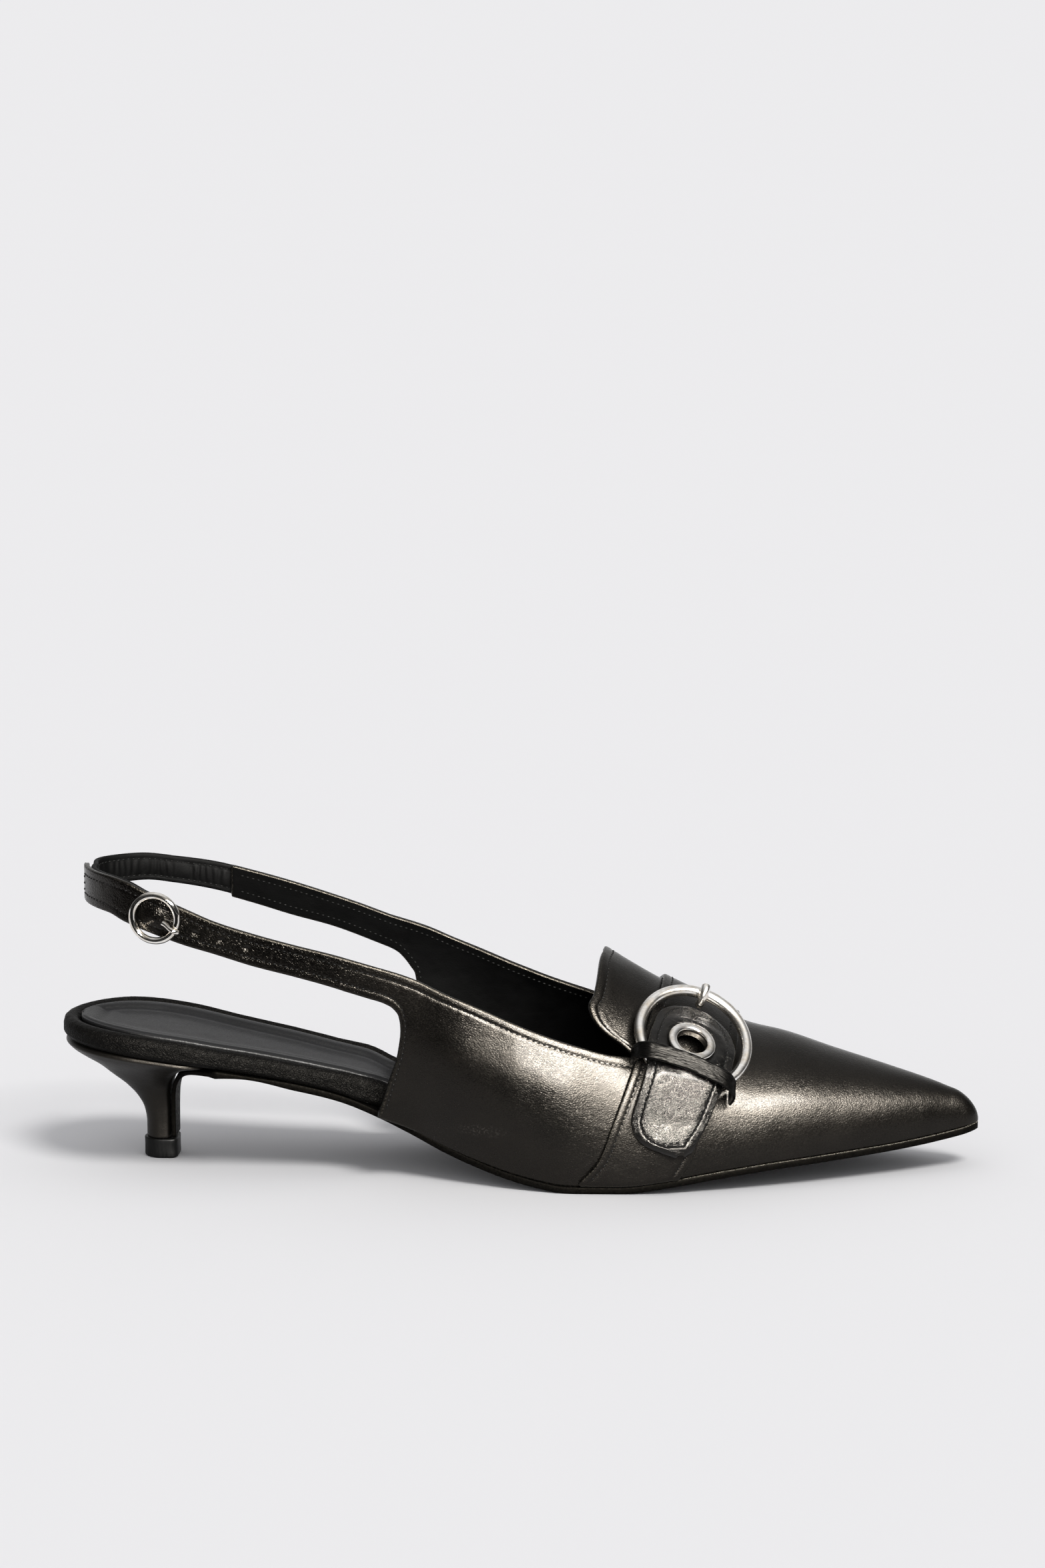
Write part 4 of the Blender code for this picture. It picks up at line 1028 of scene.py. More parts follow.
def painted_edge(name, rough, shine=0.3, welt=False):
    """The black edge paint of straps and sole, slightly lumpy and rubbed. welt adds pale glints along the sole's top
    lip, a painted highlight.
    """
    f = Finish(name, (0.004, 0.0037, 0.0035), rough, specular_tint=(1.0, 0.9, 0.75), specular_ior_level=shine)
    where = f.object_mm()
    lumps = f.noise(where, 1.3, 4.0, 0.65)
    fine = f.noise(where, 5.0, 2.0, 0.6)
    tone = f.mix(f.spread(lumps, 0.45, 0.7), (0.0014, 0.0014, 0.0014), (0.004, 0.0035, 0.003))
    if welt:
        # Painted highlight: pale glints painted into the colour of the sole edge's top lip in front of the band.
        high = f.spread(f.axis(f.place_mm(), "Y"), 0.78, 0.9)
        ahead = f.spread(f.axis(f.place_mm(), "X"), WELT_GLINTS_FROM / MM - 4, WELT_GLINTS_FROM / MM)
        painted_glints = f.math("MULTIPLY", f.math("MULTIPLY", high, ahead), f.spread(fine, 0.50, 0.60))
        tone = f.mix(painted_glints, tone, (0.70, 0.64, 0.52))
    uneven = f.spread(lumps, 0.35, 0.65, rough - 0.1, rough + 0.2)
    return f.dressed(f.bump(fine, 0.05, f.bump(lumps, 0.12)), uneven, tone)


def rubber(name):
    """The top lift's dense black rubber, dull, with a fine grain and faint upright drag streaks."""
    f = Finish(name, (0.004, 0.004, 0.004), 0.5, specular_ior_level=0.12)
    where = f.object_mm()
    fine = f.noise(where, 3.0, 5.0, 0.7)
    drag = f.noise(f.object_mm((1.0, 1.0, 6.0)), 1.2, 3.0)
    tone = f.mix(f.spread(fine, 0.4, 0.75), (0.003, 0.003, 0.003), (0.007, 0.007, 0.0065))
    return f.dressed(f.bump(fine, 0.03, f.bump(drag, 0.05)), f.spread(drag, 0.3, 0.7, 0.34, 0.55), tone)


def steel(name, rough, brush, colour=(0.88, 0.86, 0.83)):
    """Plated metal. brush draws fine lines across the wire."""
    f = Finish(name, colour, rough, metallic=1.0)
    place = f.place_mm((0.22, 4.0, 1.0))
    where = f.object_mm()
    lines = f.noise(place, 1.0, 4.0, 0.65)
    warm_patches = f.noise(where, 0.35, 3.0, 0.6)
    fine = f.noise(where, 6.0, 2.0)
    # A random noise makes patches where the metal is rougher and its colour darker and warmer.
    uneven = f.math("ADD", f.spread(warm_patches, 0.3, 0.7, rough - 0.03, rough + 0.05),
                    f.spread(lines, 0.3, 0.7, -0.03 * brush, 0.05 * brush))
    tone = f.mix(f.spread(warm_patches, 0.42, 0.72), colour, (0.60, 0.54, 0.46))
    return f.dressed(f.bump(lines, 0.012 * brush + 0.0005, f.bump(fine, 0.002)), uneven, tone)


def sewing_thread(name):
    f = Finish(name, (0.003, 0.003, 0.003), 0.6, specular_ior_level=0.12)
    twist = f.noise(f.object_mm(), 5.0, 2.0)
    tone = f.mix(f.spread(twist, 0.4, 0.7), (0.002, 0.002, 0.002), (0.0045, 0.0042, 0.004))
    return f.dressed(f.bump(twist, 0.06), f.spread(twist, 0.3, 0.7, 0.5, 0.7), tone)


UPPER_LEATHER = nappa("upper_nappa", rough=0.27, marks=True)
STRAP_LEATHER = glazed("strap_leather", crackle=1.6, stretch=(1.1, 1.1, 1.0), deep=0.65, lean=STRAP_LEAN)
LINING_LEATHER = smooth_lining("black_lining", 0.02)
GATHERED_LINING = smooth_lining("gathered_lining", 0.05)
INSOLE_LEATHER = glazed("insole_cover", crackle=0.9, stretch=(1.1, 1.1, 0.9), deep=2.2, rough=0.5, shine=0.05,
                        coat=0.0)
SOCK_LEATHER = sock_cloth("sock_leather")
HEEL_LEATHER = nappa("heel_cover", rough=0.4, gloss=0.04, deep=0.6)
# The sole's edge carries pale glints painted into its colour, a painted highlight.
SOLE_EDGE = painted_edge("sole_edge", rough=0.5, shine=0.03, welt=True)
STRAP_EDGE = painted_edge("strap_edge", rough=0.26)
KEEPER_LEATHER = creased("keeper_leather")
LIFT_RUBBER = rubber("lift_rubber")
RING_STEEL = steel("ring_steel", rough=0.2, brush=0.6)
EYELET_STEEL = steel("eyelet_steel", rough=0.14, brush=0.1)
SMALL_STEEL = steel("small_buckle_steel", rough=0.07, brush=0.0, colour=(0.86, 0.84, 0.80))
THREAD_LOOK = sewing_thread("black_thread")
WALL_LOOKS = [UPPER_LEATHER, LINING_LEATHER, STRAP_EDGE]


def sew(name, lines, slot, **sizes):
    put(stitches(name, lines, THREAD_LOOK, **sizes), None)


def edge_columns(height, middle=13):
    """Distances from the lower edge to the upper edge, close together near both edges."""
    near = np.array(EDGE_STEPS) * MM
    reach = np.minimum(near[None, :], height[:, None] * 0.46 * near[None, :] / near[-1])
    reach = np.where(height[:, None] < 2.2 * near[-1], reach, near[None, :])
    inner = np.linspace(0, 1, middle + 2)[1:-1]
    low, high = reach[:, -1:], height[:, None] - reach[:, -1:]
    return np.hstack([reach, low + (high - low) * inner, height[:, None] - reach[:, ::-1]])


def rear_lines(side):
    """Each row's lower and upper point of one side, as stations and heights, from the strap to the throat."""
    low, top = (curve(LATERAL_STRAP if side < 0 else MEDIAL_STRAP, n, STRAP_HEIGHT) for n in (1, 2))
    rise = 0.0 if side < 0 else MEDIAL_RISE
    strap_end = station(STRAPS_END)
    if side < 0:
        turns = loop_station(np.radians(np.linspace(6.5, 88, 44)))
        stations = np.concatenate([turns, np.linspace(LOOP_BEND, strap_end, 80)])
    else:
        stations = np.linspace(station(MEDIAL_STRAP_AT), strap_end, 58)
    at = share(stations)
    strap = np.stack([stations, low(at), stations, top(at)], -1)
    low_x, low_z, top_x = (curve(CORNER, n, unit) for n, unit in ((1, 1.0), (2, STRAP_HEIGHT), (3, 1.0)))
    last = len(CORNER) - 1
    k = np.linspace(0.4, last, 84)
    lower = low_z(k) + rise * (1 - ease(0.0, 2.5, k))
    lower[-1] = feather(station(low_x(last))) + CLEARANCE
    corner = np.stack([station(low_x(k)), lower, station(top_x(k)), TOPLINE_Z(top_x(k)) + rise], -1)
    t = np.linspace(0, 1, 46)[1:]
    start_low, start_top = station(low_x(last)), station(top_x(last))
    throat = station(THROAT_AT)
    x_low, x_top = start_low + (throat - start_low) * t, start_top + (throat - start_top) * t
    front = np.stack([x_low, feather(x_low) + CLEARANCE, x_top, TOPLINE_Z(share(x_top)) + rise], -1)
    return np.vstack([strap, corner, front]), len(strap) + len(corner)


def rear_grid(side):
    """One side's points, with each point's distances from its lower and its upper edge."""
    lines, open_rows = rear_lines(side)
    x0, z0, x1, z1 = (lines[:, k] for k in range(4))
    height = np.hypot(x1 - x0, z1 - z0)
    apart = edge_columns(height)
    v = apart / height[:, None]
    points = side_point(x0[:, None] + (x1 - x0)[:, None] * v, z0[:, None] + (z1 - z0)[:, None] * v, side)
    return points, apart, height[:, None] - apart, open_rows


def vamp_angles():
    """The arch angles of the vamp's columns at the throat."""
    throat = station(THROAT_AT)
    foot, top = feather(throat) + CLEARANCE, TOPLINE_Z(THROAT_AT)
    sides = []
    for rise in (0.0, MEDIAL_RISE):
        height = top + rise - foot
        sides.append(wall_angle(throat, foot + edge_columns(np.array([height]))[0]))
    lateral, medial = sides[0], np.pi - sides[1]
    over = np.linspace(lateral[-1], medial[-1], 62)[1:-1]
    return np.concatenate([lateral, over, medial[::-1]]), len(lateral)


ANGLES, SIDE_COLUMNS = vamp_angles()


def throat_station(a):
    low, high = ANGLES[SIDE_COLUMNS - 1], ANGLES[-SIDE_COLUMNS]
    t = np.clip((a - low) / (high - low), 0, 1)
    return station(THROAT_AT) + THROAT_RISE * np.sin(np.pi * t)


def upper_relief(grid, from_low, from_top, has_low):
    """Seam grooves, the folded edge's swell, soft creases at the strap's root and the pull of the band."""
    relief = np.zeros(grid.shape[:2])
    # The seams lie shallower on the near strap.
    seam_depth = 0.05 * MM + 0.10 * MM * ease(50 * MM, 76 * MM, grid[..., 0])
    for apart, there in ((from_top, 1.0), (from_low, has_low[:, None])):
        relief -= seam_depth * bell(apart, SEAM_IN, 0.36 * MM) * there
        relief += 0.03 * MM * bell(apart, 0.9 * MM, 0.6 * MM) * there
        relief += 0.01 * MM * bell(apart, 3.1 * MM, 0.9 * MM) * there
    x, z = grid[..., 0], grid[..., 2]
    lateral = ease(0.0, 4 * MM, -grid[..., 1])
    buckle = np.hypot(x - station(SMALL_RING_AT[0]), z - SMALL_RING_AT[1] * STRAP_HEIGHT)
    relief += LOOP_BULGE * bell(buckle, 0.0, 3.2 * MM) * lateral
    for at_x, at_z in STRAP_HOLES:
        hole = np.hypot(x - at_x, z - at_z)
        relief += (0.04 * MM * bell(hole, 1.3 * MM, 0.6 * MM) - 0.45 * MM * bell(hole, 0.0, 0.7 * MM)) * lateral
    full = bell(x, QUARTER_FULL_AT[0], 30 * MM) * bell(z, QUARTER_FULL_AT[1], 17 * MM)
    relief += QUARTER_FULL * full * ease(0.0, 14 * MM, from_top)
    pucker = np.sin(2 * np.pi * x / (3.1 * MM) + 1.3 * np.sin(x / (4.7 * MM)))
    relief += 0.03 * MM * pucker * bell(from_top, 3.3 * MM, 1.4 * MM)
    crease = np.sin((x - 0.4 * z) / (3.4 * MM)) * bell(x, 68 * MM, 9 * MM) * bell(z, 51 * MM, 9 * MM)
    relief += 0.16 * MM * crease
    drag = np.sin((0.5 * x + z) / (4.6 * MM)) * bell(x, 128 * MM, 9 * MM) * bell(z, 31 * MM, 8 * MM)
    relief += 0.05 * MM * drag
    relief += 0.05 * MM * np.sin(x / (9.0 * MM) + z / (6.0 * MM)) * np.sin(z / (7.0 * MM) - x / (15.0 * MM))
    return relief


def make_upper():
    """Vamp, quarters, near strap and the stub of the far strap."""
    lateral, low_l, top_l, open_l = rear_grid(-1)
    medial, low_m, top_m, _ = rear_grid(1)
    width, rear = len(ANGLES), len(lateral)
    spare = rear - len(medial)
    grid = np.zeros((rear, width, 3))
    from_low = np.full((rear, width), 1.0)
    from_top = np.full((rear, width), 1.0)
    grid[:, :SIDE_COLUMNS] = lateral
    from_low[:, :SIDE_COLUMNS], from_top[:, :SIDE_COLUMNS] = low_l, top_l
    grid[spare:, -SIDE_COLUMNS:] = medial[:, ::-1]
    from_low[spare:, -SIDE_COLUMNS:], from_top[spare:, -SIDE_COLUMNS:] = low_m[:, ::-1], top_m[:, ::-1]
    over = slice(SIDE_COLUMNS, width - SIDE_COLUMNS)
    grid[-1, over] = arch(throat_station(ANGLES[over]), ANGLES[over])
    t = np.linspace(0, 1, 150)[1:]
    start = throat_station(ANGLES)
    x = start + (TIP - start) * np.sin(t * np.pi / 2)[:, None]
    vamp = arch(x, ANGLES[None, :])
    far = np.full((len(t), width), 1.0)
    grid = np.concatenate([grid, vamp])
    from_low, from_top = np.concatenate([from_low, far]), np.concatenate([from_top, far])
    cells = np.ones((len(grid) - 1, width - 1), bool)
    cells[: rear - 1, SIDE_COLUMNS - 1 : width - SIDE_COLUMNS] = False
    cells[:spare, SIDE_COLUMNS:] = False
    has_low = np.zeros(len(grid))
    has_low[:open_l] = 1.0
    relief = upper_relief(grid, from_low, from_top, has_low)
    relief[rear:] *= 1 - ease(TIP - 12 * MM, TIP - 2 * MM, grid[rear:, :, 0])
    place = np.stack([grid[..., 0] / MM, grid[..., 2] / MM, np.minimum(from_low, from_top) / MM], -1)
    obj, top, ups = shell("upper", grid, cells, WALL, WALL_LOOKS, relief, place, notch=0.45)
    put(obj, "upper")
    near_end, far_end = 4, spare + 3
    seams = ((near_end, rear - 1, SIDE_COLUMNS - 1 - SEAM_STEP), (far_end, rear - 1, -SIDE_COLUMNS + SEAM_STEP),
             (near_end, open_l - 1, SEAM_STEP), (far_end, open_l - 1, -1 - SEAM_STEP))
    lines = []
    for first, last, column in seams:
        path, out = top[first:last, column], ups[first:last, column]
        lines.append((path, out))
        lines.append((grid[first:last, column] - out * (WALL - THREAD_SINK), -out))
    end_seam = slice(SEAM_STEP, SIDE_COLUMNS - SEAM_STEP)
    lines.append((top[near_end, end_seam], ups[near_end, end_seam]))
    sew("upper_stitches", lines, "upper_leather")


def make_flap():
    """The stiff tongue flap, its rolled free edge sewn 2 mm in."""
    edge = curve(FLAP_EDGE, 1)
    low, high = ANGLES[SIDE_COLUMNS - 1] + np.radians(1.5), ANGLES[-SIDE_COLUMNS] - np.radians(1.5)
    a = np.linspace(low, high, 130)
    front = throat_station(a) - CLEARANCE
    behind = 2.0 * MM * ease(np.pi / 2, np.radians(125), a)
    rear = np.minimum(station(edge(mirrored(np.degrees(a)))) + behind, front - 0.8 * MM)
    near = np.array(EDGE_STEPS) * MM
    share_in = np.linspace(0, 1, 30)[1:]
    length = (front - rear)[None, :]
    first = np.minimum(near[:, None], length * near[:, None] / near[-1] * 0.5)
    start = rear[None, :] + first[-1]
    grid_x = np.vstack([rear[None, :] + first, start + (length - first[-1]) * share_in[:, None]])
    grid = arch(grid_x, a[None, :])
    apart = grid_x - rear[None, :]
    relief = 0.12 * MM * bell(apart, 0.8 * MM, 0.7 * MM) - 0.14 * MM * bell(apart, SEAM_IN, 0.4 * MM)
    relief += 0.06 * MM * bell(apart, 3.2 * MM, 0.9 * MM)
    relief += 0.08 * MM * np.sin(grid[..., 0] / (3.5 * MM)) * np.sin(a[None, :] * 9)
    place = np.stack([apart / MM, np.broadcast_to(np.degrees(a), apart.shape), apart / MM], -1)
    obj, top, ups = shell("tongue_flap", grid, every_cell(grid), WALL, WALL_LOOKS, relief, place, notch=0.4)
    put(obj, "tongue_flap")
    path, out = top[SEAM_STEP, 6:-6], ups[SEAM_STEP, 6:-6]
    lines = [(path, out), (grid[SEAM_STEP, 6:-6] - out * (WALL - THREAD_SINK), -out)]
    sew("flap_stitches", lines, "upper_leather")


def make_band():
    """The wide strap over the vamp, with a raised sewn margin along both edges."""
    rear, front = (curve(BAND_EDGES, n) for n in (1, 2))
    degrees = np.linspace(0.5, 179.5, 150)
    near = mirrored(degrees)
    left, right = station(rear(near)), station(front(near))
    apart = edge_columns(right - left, 12).T
    grid_x = left[None, :] + apart
    grid = raised(grid_x, np.radians(degrees)[None, :], np.full(grid_x.shape, CLEARANCE + BAND_THICK))
    from_edge = np.minimum(apart, (right - left)[None, :] - apart)
    relief = 0.07 * MM * bell(from_edge, 0.8 * MM, 0.8 * MM) - 0.12 * MM * bell(from_edge, SEAM_IN, 0.42 * MM)
    relief += 0.05 * MM * bell(from_edge, 3.2 * MM, 0.9 * MM)
    place = np.stack([grid_x / MM, np.broadcast_to(degrees, grid_x.shape), from_edge / MM], -1)
    obj, top, ups = shell("vamp_band", grid, every_cell(grid), BAND_THICK, WALL_LOOKS, relief, place, bulge=0.9)
    put(obj, "vamp_band")
    lines = [(top[row, 1:-1], ups[row, 1:-1]) for row in (SEAM_STEP, -1 - SEAM_STEP)]
    sew("band_stitches", lines, "upper_leather")


def make_buckle_strap():
    """The padded strap over the ring, crowned, with a sunk seam and a burnished rolled edge."""
    middle, _, _, face = eyelet_frame()
    left, right = (curve(BUCKLE_STRAP, n) for n in (1, 2))
    # Rows lie closer together at both ends, where the tips are round.
    t = np.linspace(0, 1, STRAP_ROWS)
    t = 0.75 * t + 0.25 * (1 - np.cos(np.pi * t)) / 2
    low, high = BUCKLE_STRAP[0][0], BUCKLE_STRAP[-1][0]
    degrees = high + (low - high) * t
    across = signed_power(np.linspace(-1, 1, STRAP_COLUMNS), 0.8)
    half = (right(degrees) - left(degrees)) / 2
    span = (left(degrees) + right(degrees))[:, None] / 2 + half[:, None] * across
    point, out = strap_base(span, np.broadcast_to(degrees[:, None], span.shape))
    top = point + out * STRAP_THICK * (1 - 0.25 * np.abs(across) ** 6)[None, :, None]
    apart = (top - middle) @ face
    spread = np.linalg.norm(top - middle - face * apart[..., None], axis=-1)
    grid = top - face * (apart * (1 - ease(EYELET_RADIUS + 1 * MM, EYELET_RADIUS + 5 * MM, spread)))[..., None]
    # Distance from the free edge, measured along the rows and the columns.
    reach = half * RING_RADIUS
    sideways = reach[:, None] * (1 - np.abs(across))[None, :]
    run = run_along(grid[:, STRAP_COLUMNS // 2])
    endways = np.minimum(run, run[-1] - run)[:, None] * np.ones_like(sideways)
    from_edge = np.minimum(sideways, endways)
    plump = 0.35 * MM * ease(0.6 * MM, 4.0 * MM, from_edge)
    plump = plump - 0.17 * MM * bell(from_edge, 2.0 * MM, 0.32 * MM)
    folds = np.sin(run[:, None] / (1.15 * MM) + 2.2 * across[None, :] ** 2)
    low_end = bell(run, run[-1] - 6 * MM, 5 * MM)
    plump = plump + 1.6 * MM * ((run - STRAP_LEAN_FROM).clip(0) / (run[-1] - STRAP_LEAN_FROM))[:, None]
    plump = plump + 0.06 * MM * folds * low_end[:, None] * ease(2 * MM, 5 * MM, from_edge)
    plump = plump * ease(EYELET_RADIUS - 0.5 * MM, EYELET_RADIUS + 1.5 * MM, spread)
    centres = (spread[:-1, :-1] + spread[1:, :-1] + spread[1:, 1:] + spread[:-1, 1:]) / 4
    cells = centres > EYELET_HOLE + EYELET_BARREL + 0.5 * MM
    place = np.stack([np.broadcast_to(run[:, None] / MM, span.shape), span * RING_RADIUS / MM, from_edge / MM], -1)
    looks = [STRAP_LEATHER, LINING_LEATHER, STRAP_EDGE]
    obj, surface, ups = shell("buckle_strap", grid, cells, STRAP_THICK, looks, plump, place, bulge=0.45, notch=0.3)
    put(obj, "buckle_strap")
    rows = np.arange(STRAP_SEAM_ROW, STRAP_ROWS - STRAP_SEAM_ROW)
    seam_at = 1 - STRAP_SEAM_IN / reach
    lines = []
    for side in (-1, 1):
        column = [np.argmin(np.abs(across - side * seam_at[row])) for row in rows]
        path = [along_run(side * seam_at[row], across, surface[row]) for row in rows]
        lines.append((path, ups[rows, column]))
    for row in (rows[0], rows[-1]):
        inside = np.abs(across) <= seam_at[row]
        lines.append((surface[row, inside], ups[row, inside]))
    sew("buckle_strap_stitches", lines, "strap_leather", pitch=1.7 * MM, length=1.35 * MM)


def make_keeper():
    """The narrow loop over the buckle strap, with rolled edges."""
    ahead, angle = (curve(KEEPER, n) for n in (1, 2))
    lift = curve(KEEPER, 3, STRAP_THICK)
    steps = np.linspace(0, len(KEEPER) - 1, 140)
    path = raised(by_ring(ahead(steps)), np.radians(angle(steps)), lift(steps))
    x = by_ring(ahead(5))
    across = raised(x, np.radians(44), KEEPER_WIDTH) - raised(x, np.radians(32), KEEPER_WIDTH)
    tangents = unit(np.gradient(path, axis=0))
    side = unit(across - tangents * (tangents @ across)[:, None])
    out = np.cross(tangents, side)
    half = KEEPER_WIDTH / 2
    turns = full_turn(40)
    # A flat section with rolled edges and a shallow hollow between them on top.
    wide = half * signed_power(np.cos(turns), 0.55)
    high = 0.5 + 0.5 * signed_power(np.sin(turns), 0.55)
    high = high - 0.14 * bell(wide, 0.0, half * 0.55) * (np.sin(turns) > 0)
    run = np.arange(len(path)) / len(path)
    rings = []
    for k, (point, s, o) in enumerate(zip(path, side, out)):
        ripple = 0.04 * MM * np.sin(wide / (0.28 * MM) + 3 * np.sin(run[k] * 40)) * (np.sin(turns) > 0.3)
        rings.append(point + s * wide[:, None] + o * (KEEPER_THICK * high + ripple)[:, None])
    place = [[(r * 40, w / MM, 0.0) for w in wide] for r in run]
    put(loft("keeper", rings, [KEEPER_LEATHER], place=place), "keeper")


def make_metal():
    """The rings, their tongues and the eyelet."""
    middle, u, v, face = ring_frame()
    put(torus("o_ring", middle, u, v, RING_RADIUS, RING_WIRE, [RING_STEEL]), "o_ring")
    turn = np.radians(RING_PRONG_TURN)
    out = u * np.cos(turn) + v * np.sin(turn)
    reach = RING_WIRE + CLEARANCE + PRONG_RADIUS
    bends = np.radians([-20, 0, 20, 40, 60, 80, 95])
    path = [middle + out * RING_RADIUS + (-out * np.cos(b) + face * np.sin(b)) * reach for b in bends]
    put(rod("ring_prong", path, PRONG_RADIUS, [RING_STEEL]), "ring_prong")
    middle, u, v, _ = eyelet_frame()
    bore, rim_at, low, high = EYELET_HOLE, EYELET_RADIUS, CLEARANCE, EYELET_RISE
    profile = [(bore, -STRAP_THICK * 0.8), (bore + EYELET_BARREL, -STRAP_THICK * 0.8), (bore + EYELET_BARREL, low)]
    profile += [(rim_at - 0.3 * MM, low)]
    flange_low, flange_wide = low + 0.25 * MM, (rim_at - bore) / 2
    for turn in np.linspace(0.0, np.pi, 22):
        profile.append((bore + flange_wide + flange_wide * np.cos(turn),
                        flange_low + (high - flange_low) * np.sin(turn) ** 0.85))
    put(lathe("eyelet", middle, u, v, profile, [EYELET_STEEL]), "eyelet")
    middle, u, v, face = small_ring_frame()
    ring = torus("small_ring", middle, u, v, SMALL_RING_RADIUS, SMALL_RING_WIRE, [SMALL_STEEL], 128, 24)
    put(ring, "small_ring")
    turn = np.radians(SMALL_PRONG_TURN)
    out = u * np.cos(turn) + v * np.sin(turn)
    over = SMALL_RING_WIRE + SMALL_PRONG_RADIUS + CLEARANCE / 3
    path = [middle + out * reach * SMALL_RING_RADIUS + face * rise * over for reach, rise in SMALL_PRONG]
    put(rod("small_prong", path, SMALL_PRONG_RADIUS, [SMALL_STEEL], 16), "small_prong")


def make_back_strap():
    """The elastic strap with its lining gathered into small upright folds, and a seam along both edges."""
    far_low, far_top = (curve(MEDIAL_STRAP, n, STRAP_HEIGHT) for n in (1, 2))
    near_low, near_top = (curve(LATERAL_STRAP, n, STRAP_HEIGHT) for n in (1, 2))
    stops = [(x, 1) for x in np.linspace(BACK_STRAP_START, LOOP_BEND + 2 * MM, 120)]
    stops += [(loop_station(np.radians(t)), 1) for t in np.linspace(88, 0, 90)]
    stops += [(loop_station(np.radians(t)), -1) for t in np.linspace(1.5, 88, 80)]
    stops += [(x, -1) for x in np.linspace(LOOP_BEND, BACK_STRAP_END, 12)[1:]]
    x, side = np.array(stops).T
    y = side * loop_width(x)
    plan = np.stack([x, y], -1)
    tangents = unit(np.gradient(plan, axis=0))
    outward = np.stack([tangents[:, 1], -tangents[:, 0], np.zeros(len(x))], -1)
    outer = CLEARANCE + LINING_WALL / 2
    inner = -(WALL + CLEARANCE + LINING_WALL / 2)
    near = np.where(x < LOOP_BEND, ease(-0.75 * LOOP_RADIUS, 0.75 * LOOP_RADIUS, -y), (y < 0) * 1.0)
    offset = outer + (inner - outer) * ease(-0.58 * LOOP_RADIUS, -0.04 * LOOP_RADIUS, -y)
    low = far_low(share(x)) + (near_low(share(x)) - far_low(share(x))) * near
    top = far_top(share(x)) + (near_top(share(x)) - far_top(share(x))) * near
    middle = np.stack([x, y, np.zeros(len(x))], -1) + outward * offset[:, None]
    run = run_along(plan)
    gathered = ease(4 * MM, 12 * MM, run) * (1 - ease(run[-1] - 34 * MM, run[-1] - 24 * MM, run))
    turns = full_turn(44)
    across = signed_power(np.cos(turns), 0.22) * LINING_WALL / 2
    upward = signed_power(np.sin(turns), 0.75)
    rings, places = [], []
    for k in range(len(x)):
        height = (top[k] - low[k]) / 2
        z = (top[k] + low[k]) / 2 + upward * height
        from_edge = height * (1 - np.abs(upward))
        sway = 1.6 * np.sin(run[k] / (1.9 * MM))
        wave = np.sin(run[k] / (0.36 * MM) + sway + 0.5 * np.sin(upward * 3 + run[k] / MM))
        fold = 0.15 * MM * wave * gathered[k] * ease(1.0 * MM, 2.6 * MM, from_edge)
        seam = -0.14 * MM * bell(from_edge, 1.5 * MM, 0.4 * MM)
        puff = 0.16 * MM * gathered[k] * ease(1.8 * MM, 4.0 * MM, from_edge)
        swell = np.sign(np.cos(turns)) * (fold + seam + puff)
        rings.append(middle[k] + outward[k] * (across + swell)[:, None] + np.array([0, 0, 1]) * z[:, None])
        places.append([(run[k] / MM, v / MM, e / MM) for v, e in zip(z, from_edge)])
    put(loft("back_strap", rings, [GATHERED_LINING], place=places), "back_strap")
    lines = []
    for face in (-1, 1):
        for edge in (-1, 1):
            z = np.where(edge > 0, top - 1.5 * MM, low + 1.5 * MM)
            path = middle + outward * face * (LINING_WALL / 2 - 0.1 * MM)
            path = np.stack([path[:, 0], path[:, 1], z], -1)[3:-3]
            lines.append((path, outward[3:-3] * face))
    sew("back_strap_stitches", lines, "lining", thread=0.2 * MM)


def contour(inset, back, front, height, count=150):
    """A ring of points round the plan outline, drawn in by inset(x), at height(x, side)."""
    turn = np.linspace(0, np.pi, count + 1)
    t = 0.7 * (1 - np.cos(turn)) / 2 + 0.3 * np.arange(count + 1) / count
    x = back + (front - back) * t
    rows = []
    for side in (-1, 1):
        wide = half_width(x, side, inset(x), back - inset(x), front + inset(x))
        rows.append(np.stack([x, AXIS(share(x)) + side * np.maximum(wide, 0.0), height(x, side)], -1))
    return np.vstack([rows[0], rows[1][-2:0:-1]])


def make_insole():
    """The wrapped insole board: a rolled rim, sunk in the middle under the sock."""
    inset, level = curve(INSOLE_EDGE, 1, MM), curve(INSOLE_EDGE, 2)
    rings, places = [], []
    for k in np.linspace(0, len(INSOLE_EDGE) - 1, 40):
        deep, high = float(inset(k)), float(level(k))
        ring = contour(
            lambda x: tuck(x) + deep,
            deep - SEAT_OVERHANG - SEAT_BACK,
            TIP - INSOLE_SETBACK - deep,
            lambda x, side: feather(x) + CLEARANCE + rim(x, side) * high,
        )
        if high > 0.85:
            tick = np.sin(ring[:, 0] / (0.34 * MM) + 2 * np.sin(ring[:, 0] / (1.7 * MM)))
            ring[:, 2] += 0.035 * MM * tick * bell(k, 3.3, 0.6)
        rings.append(ring)
        places.append([(p[0] / MM, p[2] / MM, k) for p in ring])
    sunk = rings[-1].copy()
    sunk[:, 2] -= SOCK_HOLLOW
    centre = np.stack([sunk[:, 0], AXIS(share(sunk[:, 0])), sunk[:, 2]], -1)
    rings.append(sunk + (centre - sunk) * 0.5)
    places.append([(p[0] / MM, p[2] / MM, 9.0) for p in sunk])
    put(loft("insole", rings, [INSOLE_LEATHER], place=places), "insole")


